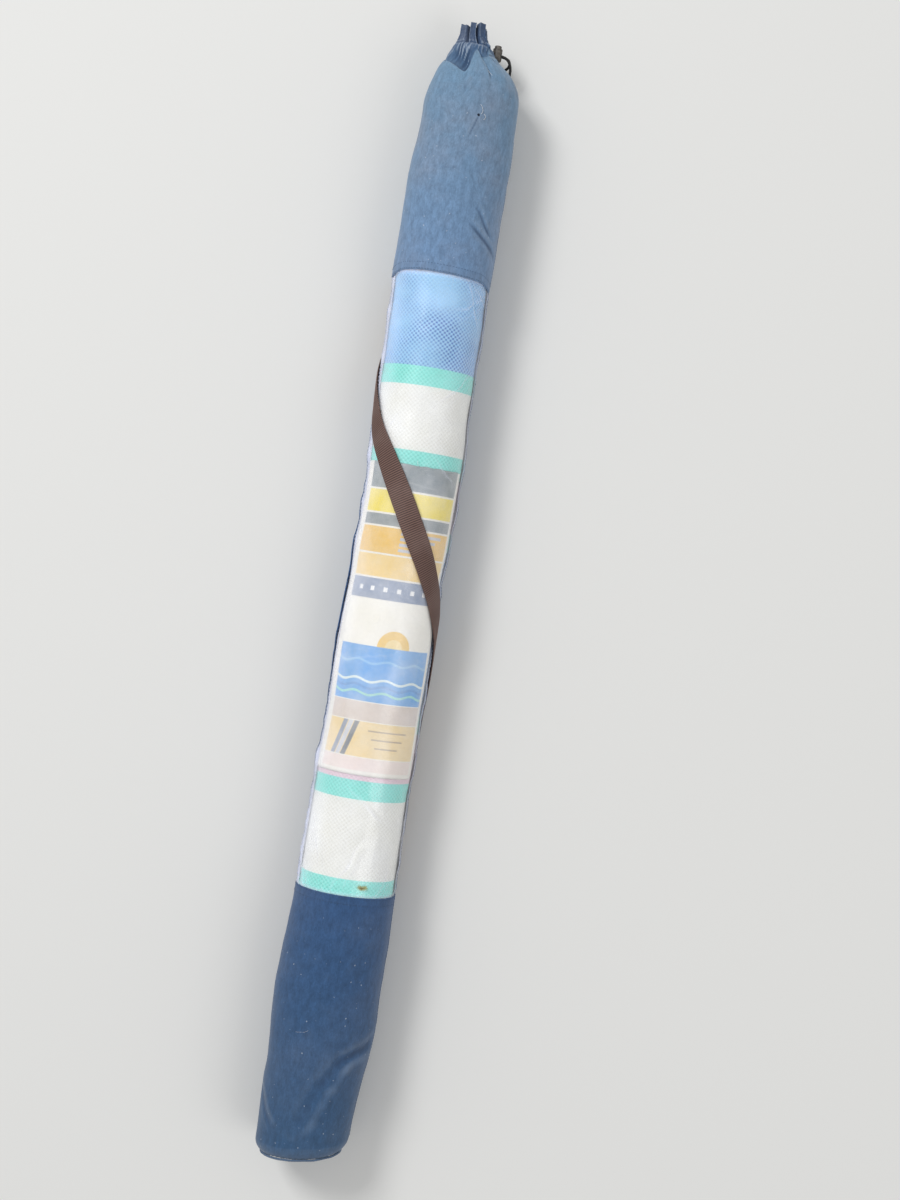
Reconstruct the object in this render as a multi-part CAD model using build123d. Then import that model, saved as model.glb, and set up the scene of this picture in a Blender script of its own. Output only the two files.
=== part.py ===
from build123d import *
import math
import os

os.makedirs("parts", exist_ok=True)

# A beach windbreak, rolled round its poles and packed in a drawstring carry bag.
# The bag lies along Y with its gathered neck at +Y. Z is up and the ground is Z = 0.
# Places along the bag are distances from the tip of the neck, all in millimetres.

# The poles, which set how long the bag is
pole_count = 5
pole_diameter = 19.0
pole_length = 1180.0
pole_point_length = 28.0
pole_tip_diameter = 5.0
neck_room = 55.0
base_room = 26.0

# The bag
bag_diameter = 109.0
rest_width = 40.0
fabric = 0.8
layer_gap = 0.3
upper_sleeve_length = 282.0
lower_sleeve_length = 301.0

# The rounded base end
base_crown = 8.0
base_corner_radius = 16.0
base_corner_turn = 60.0
base_seam_radius = 1.1
base_seam_stand_off = 0.15

# The clear window on the upper half of the bag
window_half_angle = 88.0
window_sheet = 0.4
seam_allowance = 10.0
seam_allowance_angle = 8.0
binding_sheet = 0.3
binding_half_angle = 8.0
hem_width = 14.0

# The seams that close the two sleeves
sleeve_seam_width = 8.0
sleeve_seam_thickness = 0.6
sleeve_seam_angle = 98.0

# The gathered neck
neck_at = 29.0
pleat_count = 9
neck_outer_radius = 16.5
neck_inner_radius = 10.5
ruffle_tip_outer_radius = 18.5
ruffle_tip_inner_radius = 12.0
pleat_wall = 1.6
shoulder_ends = 165.0

# The drawcord and its lock
cord_diameter = 3.0
cord_ring_gap = 1.4
lock_offset = 27.0
lock_beyond_neck = 3.0
lock_height = 37.0
lock_diameter = 10.5
lock_length = 14.0
lock_rounding = 1.2
lock_clearance = 0.3
strand_spacing = 3.4
button_diameter = 7.6
button_length = 6.0
button_rounding = 0.8
button_seat = 3.0

# The carry strap
strap_width = 25.0
strap_thickness = 1.2
strap_end_length = 32.0
strap_from_window_end = 8.0
fold_gap = 0.1

# The rolled cloth
cloth_thickness = 0.6
cloth_turns = 14
cloth_edge_angle = 130.0
bare_at_points = 88.0
bare_at_tops = 32.0

# The printed card behind the window
card_below_window_top = 208.0
card_length = 339.0
card_half_angle = 77.0
card_thickness = 0.4

bag_length = neck_room + pole_length + base_room
bag_radius = bag_diameter / 2
window_from = upper_sleeve_length
window_to = bag_length - lower_sleeve_length
axis_height = math.sqrt(bag_radius**2 - (rest_width / 2) ** 2)
bag_axis = Axis((0, 0, axis_height), (0, 1, 0))
base_y = -bag_length / 2
far = 4 * bag_length


def along(distance):
    """The Y of a place that lies this far from the tip of the neck."""
    return bag_length / 2 - distance


def above(floor):
    """Everything above a level floor."""
    return Pos(0, 0, floor + far / 2) * Box(far, far, far)


def disc(radius, floor):
    """The bag's cross-section at one radius, cut flat where it rests."""
    circle = Pos(0, axis_height) * Circle(radius)
    return circle & Pos(0, floor + far / 2) * Rectangle(far, far)


def ring(outer_radius, thickness, floor):
    """One layer's cross-section, from its outer radius inwards."""
    return disc(outer_radius, floor) - disc(outer_radius - thickness, floor + thickness)


def round_point(angle, radius):
    """A point of the cross-section, by its angle from the top towards +X."""
    turn = math.radians(angle)
    return (radius * math.sin(turn), axis_height + radius * math.cos(turn))


def wedge(angle_from, angle_to):
    """The sector of the cross-section between two angles from the top."""
    reach = 2 * bag_radius
    centre = (0, axis_height)
    first = round_point(angle_from, reach)
    middle = round_point((angle_from + angle_to) / 2, reach)
    last = round_point(angle_to, reach)
    return make_face([Line(centre, first), ThreePointArc(first, middle, last), Line(last, centre)])


def run(section, distance_from, distance_to):
    """A cross-section drawn out along the bag between two distances from the tip."""
    plane = Plane.XZ.offset(-along(distance_from))
    return extrude(plane * section, amount=distance_to - distance_from)


def turned(profile):
    """A half profile (radius, Y) turned about the axis of the bag."""
    return revolve(Pos(0, 0, axis_height) * profile, axis=bag_axis)


# Base end: a shallow crowned disc, sewn to the tube with the seam turned out
seam_y = base_y + base_crown
corner_turn = math.radians(base_corner_turn)
corner_y = seam_y + base_corner_radius * math.sin(corner_turn)
corner_centre = (bag_radius - base_corner_radius, corner_y)
corner_drop = corner_y - seam_y


def corner_point(radius, drop):
    """Where the rounded corner of this radius has come down by this much."""
    return (corner_centre[0] + math.sqrt(radius**2 - drop**2), corner_y - drop)


outer_rim = corner_point(base_corner_radius, corner_drop)
inner_rim = corner_point(base_corner_radius - fabric, corner_drop)


def crown_face(rim, depth):
    """The half profile of the base's crown, from the rim to the axis."""
    chord = rim[0]
    radius = (chord**2 + depth**2) / (2 * depth)
    centre_y = seam_y - depth + radius
    middle_angle = math.asin(chord / radius) / 2
    middle = (radius * math.sin(middle_angle), centre_y - radius * math.cos(middle_angle))
    tip = (0, seam_y - depth)
    arc = ThreePointArc(rim, middle, tip)
    return make_face([arc, Line(tip, (0, seam_y)), Line((0, seam_y), rim)])


base_disc = turned(crown_face(outer_rim, base_crown)) - turned(crown_face(inner_rim, base_crown - fabric))
seam_bead_centre = (outer_rim[0] + base_seam_radius / 2, seam_y - base_seam_radius - base_seam_stand_off)
base_seam = turned(Pos(*seam_bead_centre) * Circle(base_seam_radius))


# Lower sleeve: a tube of fabric with its end drawn in to the base disc
def sleeve_face(radius, corner_radius, open_y):
    """The half profile of the lower sleeve's outside or inside."""
    rim = corner_point(corner_radius, corner_drop)
    middle = corner_point(corner_radius, corner_radius * math.sin(corner_turn / 2))
    start = (radius, corner_y)
    corner = ThreePointArc(start, middle, rim)
    edges = [Line((0, open_y), (radius, open_y)), Line((radius, open_y), start), corner]
    edges += [Line(rim, (0, seam_y)), Line((0, seam_y), (0, open_y))]
    return make_face(edges)


lower_open_y = along(window_to)
sleeve_outside = turned(sleeve_face(bag_radius, base_corner_radius, lower_open_y)) & above(0)
sleeve_inside = turned(sleeve_face(bag_radius - fabric, base_corner_radius - fabric, lower_open_y))
lower_sleeve = sleeve_outside - (sleeve_inside & above(fabric))

# Middle: a fabric back and a clear window, tucked in under all the edges round it
back_panel = run(
    ring(bag_radius, fabric, 0) & wedge(window_half_angle, 360 - window_half_angle), window_from, window_to
)
window_radius = bag_radius - fabric - layer_gap
window_reach = window_half_angle + seam_allowance_angle
window = run(
    ring(window_radius, window_sheet, 0) & wedge(-window_reach, window_reach),
    window_from - seam_allowance,
    window_to + seam_allowance,
)
binding_radius = window_radius - window_sheet - layer_gap
binding_from = window_half_angle - binding_half_angle
binding_to = window_half_angle + binding_half_angle
binding_ring = ring(binding_radius, binding_sheet, fabric + layer_gap)
window_binding_right = run(binding_ring & wedge(binding_from, binding_to), window_from, window_to)
window_binding_left = run(binding_ring & wedge(-binding_to, -binding_from), window_from, window_to)

# Hems: the turned-in edge of each sleeve, inside the window's end
hem_radius = window_radius - window_sheet - layer_gap
hem_floor = fabric + layer_gap
hem_ring = ring(hem_radius, fabric, hem_floor)
upper_hem = run(hem_ring, window_from - hem_width, window_from)
lower_hem = run(hem_ring, window_to, window_to + hem_width)


# Upper sleeve: a tube that rounds in over the shoulder to the neck
def shoulder_face(inset):
    """The half profile of the upper sleeve's outside, or of its inside, set in by a thickness."""
    profile = [(radius - inset, along(distance)) for distance, radius in shoulder_profile]
    open_y = along(window_from)
    neck_y = along(neck_at)
    curve = Spline(*profile, tangents=[(0, 1), (-1, 1)])
    sides = Line((0, open_y), (bag_radius - inset, open_y)) + Line((bag_radius - inset, open_y), curve @ 0)
    return make_face([*sides.edges(), curve, Line(curve @ 1, (0, neck_y)), Line((0, neck_y), (0, open_y))])


shoulder_profile = [
    (shoulder_ends, bag_radius),
    (118.0, 53.4),
    (90.0, 50.9),
    (65.0, 45.6),
    (45.0, 35.4),
    (37.0, 28.0),
    (neck_at, neck_outer_radius),
]
shoulder_outside = turned(shoulder_face(0)) & above(0)
shoulder_inside = turned(shoulder_face(fabric)) & above(fabric)
upper_sleeve = shoulder_outside - shoulder_inside


# Ruffle: the pleated fabric that stands beyond the drawcord
def pleated(outer_radius, inner_radius, distance):
    """A closed face of sharp pleats across the bag, at this distance from the tip."""
    points = []
    for step in range(2 * pleat_count):
        radius = outer_radius if step % 2 == 0 else inner_radius
        x, z = round_point(step * 180.0 / pleat_count, radius)
        points.append((x, along(distance), z))
    return make_face(Polyline(*points, close=True))


def ruffle(inset):
    """The solid under the ruffle's surface, set in by a thickness."""
    tip = pleated(ruffle_tip_outer_radius - inset, ruffle_tip_inner_radius - inset, 0)
    neck = pleated(neck_outer_radius - inset, neck_inner_radius - inset, neck_at)
    return loft([tip, neck], ruled=True)


neck_ruffle = ruffle(0) - ruffle(pleat_wall)

# Sleeve seams: a narrow felled seam along each sleeve, in line with the window's edge
seam_half_angle = math.degrees(sleeve_seam_width / 2 / bag_radius)
seam_sector = wedge(sleeve_seam_angle - seam_half_angle, sleeve_seam_angle + seam_half_angle)
felled_seam = (disc(bag_radius + sleeve_seam_thickness, 0) - disc(bag_radius, 0)) & seam_sector
upper_sleeve_seam = run(felled_seam, shoulder_ends, window_from)
lower_sleeve_seam = run(felled_seam, window_to, bag_length / 2 - corner_y)

# Drawcord round the neck
ring_radius = neck_outer_radius + cord_ring_gap + cord_diameter / 2
drawcord_ring = Pos(0, along(neck_at), axis_height) * Rot(90, 0, 0) * Torus(ring_radius, cord_diameter / 2)

# Cord lock: a barrel with a spring button, with the two strands side by side through it
lock_place = Pos(lock_offset, along(neck_at) + lock_beyond_neck, lock_height)
slot_width = cord_diameter + 2 * lock_clearance
slot_height = strand_spacing + cord_diameter + 2 * lock_clearance
barrel = Rot(90, 0, 0) * Cylinder(lock_diameter / 2, lock_length)
barrel = fillet(barrel.edges(), lock_rounding)
barrel -= Box(2 * lock_diameter, slot_width, slot_height)
button_bore = Rot(90, 0, 0) * Cylinder(button_diameter / 2 + lock_clearance, button_seat)
barrel -= Pos(0, lock_length / 2 - button_seat / 2, 0) * button_bore
cord_lock_body = lock_place * barrel
button = Rot(90, 0, 0) * Cylinder(button_diameter / 2, button_length)
button = fillet(button.edges().sort_by(Axis.Y)[-1], button_rounding)
cord_lock_button = lock_place * Pos(0, lock_length / 2 - button_seat + button_length / 2, 0) * button

# Free end of the drawcord: a loop out of the lock, tucked in under the shoulder
loop_points = [
    (17.2, 3.0, lock_height + strand_spacing / 2),
    (34.5, 3.0, lock_height + strand_spacing / 2),
    (42.5, -3.0, 34.5),
    (44.5, -12.5, 26.0),
    (41.0, -23.0, 15.5),
    (32.5, -33.0, 6.5),
    (20.5, -39.0, 2.0),
    (7.5, -37.0, 1.9),
    (-1.0, -27.0, 1.9),
    (1.5, -14.5, 2.4),
    (12.0, -8.5, 6.0),
    (25.0, -9.5, 11.5),
    (37.5, -9.0, 18.5),
    (43.5, -2.5, 26.5),
    (37.5, 3.0, lock_height - strand_spacing / 2),
    (17.2, 3.0, lock_height - strand_spacing / 2),
]
cord_points = [Vector(x, along(neck_at) + y, z) for x, y, z in loop_points]


def bend_radii(points):
    """The largest bend that each corner's two runs leave room for."""
    radii = []
    for before, here, after in zip(points, points[1:], points[2:]):
        run_in = here - before
        run_out = after - here
        half_turn = math.radians(run_in.get_angle(run_out)) / 2
        shorter = min(run_in.length, run_out.length)
        radii.append(0.45 * shorter / math.tan(half_turn))
    return radii


cord_radii = bend_radii(cord_points)
cord_path = FilletPolyline(*cord_points, radius=cord_radii)
cord_start = Plane(origin=cord_path @ 0, z_dir=cord_path % 0)
drawcord_loop = sweep(cord_start * Circle(cord_diameter / 2), path=cord_path)
print("drawcord bends", [round(radius, 1) for radius in cord_radii])
print("drawcord length", round(cord_path.length, 1))
swept_volume = math.pi * cord_diameter**2 / 4 * cord_path.length
print("drawcord volume", round(drawcord_loop.volume, 1), "by its length", round(swept_volume, 1))

# Carry strap: webbing sewn to the back at both ends and wound once across the window
strap_inner_radius = bag_radius + layer_gap
strap_outer_radius = strap_inner_radius + strap_thickness
strap_from = window_from + strap_from_window_end
strap_to = window_to - strap_from_window_end
strap_angles = [-134.0, -130.0, -118.0, -94.0, -61.0, -30.0, -4.5, 18.5, 43.0]
strap_angles += [68.5, 92.0, 107.0, 115.0, 120.0, 125.0, 129.0, 132.5, 134.0]
strap_step = (strap_to - strap_from) / (len(strap_angles) - 1)
strap_route = [(strap_from + index * strap_step, angle) for index, angle in enumerate(strap_angles)]


def band_section(distance, angle, width, inner_radius, outer_radius):
    """A short arc of webbing across the bag, this wide round the bag."""
    half = math.degrees(width / 2 / strap_inner_radius)
    y = along(distance)

    def at(turn, radius):
        x, z = round_point(turn, radius)
        return (x, y, z)

    outer = ThreePointArc(
        at(angle - half, outer_radius), at(angle, outer_radius), at(angle + half, outer_radius)
    )
    inner = ThreePointArc(
        at(angle + half, inner_radius), at(angle, inner_radius), at(angle - half, inner_radius)
    )
    return make_face([outer, Line(outer @ 1, inner @ 0), inner, Line(inner @ 1, outer @ 0)])


def wound_band(route, inner_radius, outer_radius):
    """Webbing on its way round the bag, each section as wide as its slant there makes it."""
    sections = []
    for index, (distance, angle) in enumerate(route):
        before = route[max(index - 1, 0)]
        after = route[min(index + 1, len(route) - 1)]
        around = math.radians(after[1] - before[1]) * strap_outer_radius
        slant = math.atan2(around, after[0] - before[0])
        width = strap_width / math.cos(slant)
        sections.append(band_section(distance, angle, width, inner_radius, outer_radius))
    return loft(sections)


def layer(inner_radius, outer_radius, distance_from, distance_to):
    """A full round layer about the bag, between two radii."""
    face = Pos(0, axis_height) * (Circle(outer_radius) - Circle(inner_radius))
    return run(face, distance_from, distance_to)


deep_band = wound_band(strap_route, strap_inner_radius / 2, 2 * strap_outer_radius)
carry_strap = deep_band & layer(strap_inner_radius, strap_outer_radius, strap_from, strap_to)


def strap_end(distance_from, angle):
    """The folded-back end of the strap, sewn down over it."""
    distance_to = distance_from + strap_end_length
    inner_radius = strap_outer_radius + fold_gap
    half = math.degrees(strap_width / 2 / inner_radius)
    fold = layer(inner_radius, inner_radius + strap_thickness, distance_from, distance_to)
    return fold & run(wedge(angle - half, angle + half), distance_from, distance_to)


strap_end_upper = strap_end(strap_from, strap_angles[0])
strap_end_lower = strap_end(strap_to - strap_end_length, strap_angles[-1])

# Poles: a bundle of wooden poles in a ring, with their points towards the neck
roll_floor = hem_floor + fabric + layer_gap
roll_top = axis_height + hem_radius - fabric - layer_gap
roll_radius = (roll_top - roll_floor) / 2
roll_height = (roll_top + roll_floor) / 2
pole_radius = pole_diameter / 2
bundle_radius = (pole_radius + layer_gap / 2) / math.sin(math.pi / pole_count)
core_radius = bundle_radius + pole_radius + layer_gap
pole_profile = Polyline(
    (0, along(neck_room)),
    (pole_tip_diameter / 2, along(neck_room)),
    (pole_radius, along(neck_room + pole_point_length)),
    (pole_radius, along(neck_room + pole_length)),
    (0, along(neck_room + pole_length)),
    (0, along(neck_room)),
)
pole = revolve(make_face(pole_profile), axis=Axis.Y)
poles = {}
for index in range(pole_count):
    turn = 2 * math.pi * index / pole_count
    place = Pos(bundle_radius * math.sin(turn), 0, roll_height + bundle_radius * math.cos(turn))
    poles["pole_" + str(index + 1)] = place * pole

# Cloth: one long sheet wound round the poles, as half turns about two centres in turn
cloth_pitch = (roll_radius - core_radius - cloth_thickness) / cloth_turns
centre_shift = cloth_pitch / 4


def spiral_arcs(first_radius):
    """The half turns of one face of the rolled cloth, each tangent to the next."""
    arcs = []
    for half_turn in range(2 * cloth_turns):
        side = 1 if half_turn % 2 == 0 else -1
        centre_x = -side * centre_shift
        radius = first_radius + half_turn * cloth_pitch / 2
        start = (centre_x + side * radius, 0)
        top = (centre_x, side * radius)
        end = (centre_x - side * radius, 0)
        arcs.append(ThreePointArc(start, top, end))
    return arcs


inner_arcs = spiral_arcs(core_radius)
outer_arcs = spiral_arcs(core_radius + cloth_thickness)
first_edge = Line(inner_arcs[0] @ 0, outer_arcs[0] @ 0)
last_edge = Line(inner_arcs[-1] @ 1, outer_arcs[-1] @ 1)
spiral_face = make_face(inner_arcs + [last_edge] + outer_arcs + [first_edge])
cloth_section = Pos(0, roll_height) * Rot(0, 0, 90 - cloth_edge_angle) * spiral_face
cloth_from = neck_room + bare_at_points
cloth_to = neck_room + pole_length - bare_at_tops
windbreak_cloth = run(cloth_section, cloth_from, cloth_to)

# Printed card, curved behind the window
card_radius = window_radius - window_sheet - layer_gap
card_ring = ring(card_radius, card_thickness, 0)
card_from = window_from + card_below_window_top
card_insert = run(card_ring & wedge(-card_half_angle, card_half_angle), card_from, card_from + card_length)

pieces = {
    "base_disc": base_disc,
    "base_seam": base_seam,
    "lower_sleeve": lower_sleeve,
    "lower_sleeve_seam": lower_sleeve_seam,
    "lower_hem": lower_hem,
    "back_panel": back_panel,
    "window": window,
    "window_binding_left": window_binding_left,
    "window_binding_right": window_binding_right,
    "upper_hem": upper_hem,
    "upper_sleeve": upper_sleeve,
    "upper_sleeve_seam": upper_sleeve_seam,
    "neck_ruffle": neck_ruffle,
    "drawcord_ring": drawcord_ring,
    "drawcord_loop": drawcord_loop,
    "cord_lock_body": cord_lock_body,
    "cord_lock_button": cord_lock_button,
    "carry_strap": carry_strap,
    "strap_end_upper": strap_end_upper,
    "strap_end_lower": strap_end_lower,
    "card_insert": card_insert,
    "windbreak_cloth": windbreak_cloth,
    **poles,
}

for name, shape in pieces.items():
    export_step(shape, "parts/" + name + ".step")
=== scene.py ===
import math
import random

import bpy
import numpy as np
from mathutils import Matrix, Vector, noise


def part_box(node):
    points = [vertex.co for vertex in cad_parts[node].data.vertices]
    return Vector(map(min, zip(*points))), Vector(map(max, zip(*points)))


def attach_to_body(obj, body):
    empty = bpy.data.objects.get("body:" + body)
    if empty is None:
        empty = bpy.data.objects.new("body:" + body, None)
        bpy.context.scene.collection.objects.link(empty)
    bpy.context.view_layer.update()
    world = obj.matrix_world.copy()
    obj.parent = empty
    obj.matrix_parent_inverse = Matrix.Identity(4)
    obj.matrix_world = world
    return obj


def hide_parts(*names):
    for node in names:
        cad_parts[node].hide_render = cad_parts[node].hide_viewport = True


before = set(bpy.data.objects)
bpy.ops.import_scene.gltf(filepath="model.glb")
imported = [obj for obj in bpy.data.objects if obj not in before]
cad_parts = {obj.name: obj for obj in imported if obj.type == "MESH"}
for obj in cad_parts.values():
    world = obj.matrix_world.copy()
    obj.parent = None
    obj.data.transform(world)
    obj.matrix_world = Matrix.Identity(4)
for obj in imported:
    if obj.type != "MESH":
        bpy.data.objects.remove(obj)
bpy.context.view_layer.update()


# Poles: five planed softwood poles, each cut to a point at the end by the neck.
# They lie in a ring in the middle of the roll, and stay as the frame holds them.
def linear(hex_colour):
    """A colour written as sRGB hex, as the linear values that a shader takes."""
    parts = [int(hex_colour[start : start + 2], 16) / 255 for start in (1, 3, 5)]
    return [part / 12.92 if part <= 0.04045 else ((part + 0.055) / 1.055) ** 2.4 for part in parts] + [1.0]


def add(tree, kind, settings, inputs):
    """Adds a shader node, with its settings, and with its inputs filled or linked.
    A From or To pair fills the Min and the Max of that range."""
    node = tree.nodes.new("ShaderNode" + kind)
    for name, value in settings.items():
        if name == "stops":
            while len(node.color_ramp.elements) < len(value):
                node.color_ramp.elements.new(0.5)
            for element, (position, colour) in zip(node.color_ramp.elements, value):
                element.position = position
                element.color = linear(colour)
        elif name == "steps":
            node.color_ramp.interpolation = value
        else:
            setattr(node, name, value)
    for name, value in inputs.items():
        if isinstance(value, bpy.types.Node):
            value = value.outputs[0]
        if isinstance(value, bpy.types.NodeSocket):
            tree.links.new(value, node.inputs[name])
        elif name in ("From", "To"):
            node.inputs[name + " Min"].default_value, node.inputs[name + " Max"].default_value = value
        else:
            node.inputs[name].default_value = linear(value) if isinstance(value, str) else value
    return node


def give(piece, material):
    """Puts one finish on every slot of a piece."""
    if not piece.data.materials:
        piece.data.materials.append(material)
    for index in range(len(piece.data.materials)):
        piece.data.materials[index] = material


def new_finish(name):
    """An empty material and its node tree."""
    material = bpy.data.materials.new(name)
    material.use_nodes = True
    material.node_tree.nodes.clear()
    return material, material.node_tree


mm = 0.001


def per(size):
    """The scale of a pattern whose marks are about this many millimetres apart."""
    return 1 / (size * mm)


def planed_softwood():
    """Planed softwood: matt, with grain lines about 2 mm apart that run along the pole."""
    material, tree = new_finish("planed_softwood")
    place = add(tree, "TexCoord", {}, {}).outputs["Object"]
    drawn_out = add(tree, "Mapping", {}, {"Vector": place, "Scale": (1.0, 0.06, 1.0)})
    lines = {"Vector": drawn_out, "Scale": per(2.0), "Detail": 3.0, "Distortion": 0.6}
    grain = add(tree, "TexNoise", {}, lines)
    tone = add(tree, "ValToRGB", {"stops": [(0.35, "#b98f5c"), (0.65, "#dcbb89")]}, {"Fac": grain})
    relief = add(tree, "Bump", {}, {"Height": grain, "Strength": 0.25, "Distance": 0.3 * mm})
    wood = add(tree, "BsdfPrincipled", {}, {"Base Color": tone, "Roughness": 0.62, "Normal": relief})
    add(tree, "OutputMaterial", {}, {"Surface": wood})
    return material


pole_wood = planed_softwood()
for number in range(1, 6):
    give(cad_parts["pole_" + str(number)], pole_wood)


# Windbreak cloth: one strip of woven polythene tape, striped across its width.
# It is rolled round the poles, with fourteen turns, and its last edge lies underneath.
sleeve_low, sleeve_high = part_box("upper_sleeve")
bag_radius = (sleeve_high.x - sleeve_low.x) / 2 / mm
axis_height = sleeve_high.z / mm - bag_radius
tip_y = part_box("neck_ruffle")[1].y / mm
window_from = tip_y - sleeve_low.y / mm
window_to = tip_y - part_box("lower_sleeve")[1].y / mm
bag_length = tip_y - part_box("base_disc")[0].y / mm


def smooth_step(low, high, value):
    """0 below low, 1 above high, and a smooth rise between them."""
    share = min(max((value - low) / (high - low), 0.0), 1.0)
    return share * share * (3 - 2 * share)


def hill(value, middle, reach):
    """1 at the middle, falling away smoothly over about this reach on both sides."""
    return math.exp(-(((value - middle) / reach) ** 2))


def four_about(points, index):
    """The point before this one, this one, the next and the one after, as far as there are any."""
    return [points[min(max(index + step, 0), len(points) - 1)] for step in (-1, 0, 1, 2)]


def smooth_between(start, end, rise_in, rise_out, share):
    """A value on the smooth curve from start to end that sets off and arrives with these rises."""
    curve = 2 * start - 2 * end + rise_in + rise_out
    bend = 3 * (end - start) - 2 * rise_in - rise_out
    return start + share * (rise_in + share * (bend + share * curve))


def curve_through(points, value):
    """A smooth curve through points of (measure, result), read at one measure."""
    index = 0
    while index < len(points) - 2 and value > points[index + 1][0]:
        index += 1
    before, start, end, after = four_about(points, index)
    width = end[0] - start[0]
    share = min(max((value - start[0]) / width, 0.0), 1.0)
    rise_in = (end[1] - before[1]) / (end[0] - before[0]) * width
    rise_out = (after[1] - start[1]) / (after[0] - start[0]) * width
    return smooth_between(start[1], end[1], rise_in, rise_out, share)


# Three lines by distance from the tip: the slack waist, the lean of the middle line, and the sag.
waist_line = [
    (0, -0.2), (150, 0.0), (230, -0.5), (262, -0.2), (284, 0.4), (310, 0.7), (340, 0.2), (375, 1.0),
    (400, 0.5), (430, 1.4), (460, 0.3), (490, 0.9), (520, 1.5), (550, 1.4), (580, 1.0), (610, 1.9),
    (640, 1.1), (670, 0.3), (730, 0.3), (760, 1.0), (790, 0.2), (820, -0.5), (850, 0.1), (910, -0.7),
    (960, -0.8), (1030, -1.0), (1090, -0.9), (1140, -0.3), (1170, 0.5), (1200, 1.8), (1222, 2.6),
    (1245, 3.4), (1300, 3.4),
]
lean_line = [
    (-10, -2.6), (0, -2.3), (15, -1.2), (25, -0.1), (32, 0.3), (38, 1.4), (44, 2.8), (50, 4.7),
    (58, 6.8), (70, 8.0), (85, 7.6), (105, 7.1), (130, 6.8), (150, 6.0), (170, 4.9), (200, 4.3),
    (260, 3.4), (285, 3.1), (320, 4.2), (360, 4.1), (400, 4.3), (440, 4.6), (480, 5.8), (520, 5.7),
    (560, 4.7), (600, 3.0), (650, 1.9), (700, 1.3), (790, 0.7), (840, -0.9), (900, -1.3), (960, -1.6),
    (1010, -2.4), (1050, -4.0), (1080, -4.8), (1120, -3.9), (1150, -4.4), (1180, -6.3), (1220, -7.4),
    (1300, -7.6),
]
sag_line = [
    (0, 0.0), (900, 0.0), (960, 0.4), (1000, 1.2), (1050, 2.6), (1090, 3.4), (1130, 2.6), (1165, 0.4),
    (1300, 0.0),
]


def waist(distance):
    """How far the bag is drawn in here by the slack of its soft tube, in millimetres."""
    return curve_through(waist_line, distance)


def lean(distance):
    """How far the bag's middle line lies off the frame's, in millimetres."""
    return curve_through(lean_line, distance)


def spot(distance, angle, radius, floor=0.0):
    """A place on the bag, in millimetres: distance from the tip, angle from the top towards +X, and radius.
    The lower sleeve sags a little wider than high, and the base end is askew. Nothing is below the floor."""
    turn = math.radians(angle)
    height = max(axis_height + radius * math.cos(turn), floor)
    across = (radius + curve_through(sag_line, distance)) * math.sin(turn)
    askew = 0.13 * smooth_step(1150, 1240, distance) * across
    return (across + lean(distance), tip_y - distance + askew, height)


def rough(first, second, seed):
    """Smooth noise from about -1 to 1 over two measures."""
    return noise.noise(Vector((first, second, seed)))


def steps(start, end, spacing):
    """Evenly spaced values from start to end, about this far apart."""
    return [float(value) for value in np.linspace(start, end, max(2, round(abs(end - start) / spacing) + 1))]


def lay_grid(rows, columns, place, cut, closed=False):
    """Points, faces, cut-pattern places and ridges of a grid. A closed grid ends where it began."""
    across = columns[:-1] if closed else columns
    points = np.array([[place(row, column) for column in across] for row in rows]) * mm
    flat = np.array([[cut(row, column) for column in columns] for row in rows]) * mm
    count = len(across)
    corner = np.arange(len(rows) - 1)[:, None] * count
    here = np.arange(len(columns) - 1)[None, :]
    beside = (here + 1) % count
    below = corner + count
    faces = np.stack([corner + here, below + here, below + beside, corner + beside], axis=-1)
    near = flat[:-1, :-1], flat[1:, :-1], flat[1:, 1:], flat[:-1, 1:]
    return points, faces.reshape(-1, 4), np.stack(near, axis=2).reshape(-1, 2), ridges(points, closed)


def ridges(points, closed):
    """How far each point stands out of its neighbours, in millimetres: up on a ridge, down in a fold."""
    found = np.zeros(points.shape[:2])
    for reach in (1, 2):
        rows = np.pad(points, ((reach, reach), (0, 0), (0, 0)), mode="edge")
        sides = np.pad(points, ((0, 0), (reach, reach), (0, 0)), mode="wrap" if closed else "edge")
        mean = (rows[2 * reach :] + rows[: -2 * reach] + sides[:, 2 * reach :] + sides[:, : -2 * reach]) / 4
        along_rows = rows[2 * reach :] - rows[: -2 * reach]
        along_sides = sides[:, 2 * reach :] - sides[:, : -2 * reach]
        out = np.cross(along_rows, along_sides)
        out /= np.linalg.norm(out, axis=2, keepdims=True) + 1e-12
        found += np.sum((points - mean) * out, axis=2) / mm
    return found.ravel()


def new_piece(name, points, faces, material):
    """One smooth object from its points and faces, with its finish."""
    mesh = bpy.data.meshes.new(name)
    mesh.from_pydata(points, [], faces)
    mesh.polygons.foreach_set("use_smooth", [True] * len(mesh.polygons))
    piece = bpy.data.objects.new(name, mesh)
    bpy.context.scene.collection.objects.link(piece)
    give(piece, material)
    return piece


def make_piece(name, grids, thickness, material):
    """One object from one or more grids, thickened inwards, with its flat cut as its UV map."""
    start = 0
    points, faces, flat, wear = [], [], [], []
    for grid_points, grid_faces, grid_flat, grid_wear in grids:
        points.append(grid_points.reshape(-1, 3))
        faces.append(grid_faces + start)
        flat.append(grid_flat)
        wear.append(grid_wear)
        start += len(points[-1])
    piece = new_piece(name, np.concatenate(points).tolist(), np.concatenate(faces).tolist(), material)
    cut_map = piece.data.uv_layers.new(name="cut")
    cut_map.data.foreach_set("uv", np.concatenate(flat).ravel())
    ridge_map = piece.data.attributes.new("ridge", "FLOAT", "POINT")
    ridge_map.data.foreach_set("value", np.concatenate(wear))
    piece.data.update()
    if thickness:
        skin = piece.modifiers.new("thickness", "SOLIDIFY")
        skin.thickness = thickness * mm
        skin.offset = -1.0
    return piece


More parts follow.
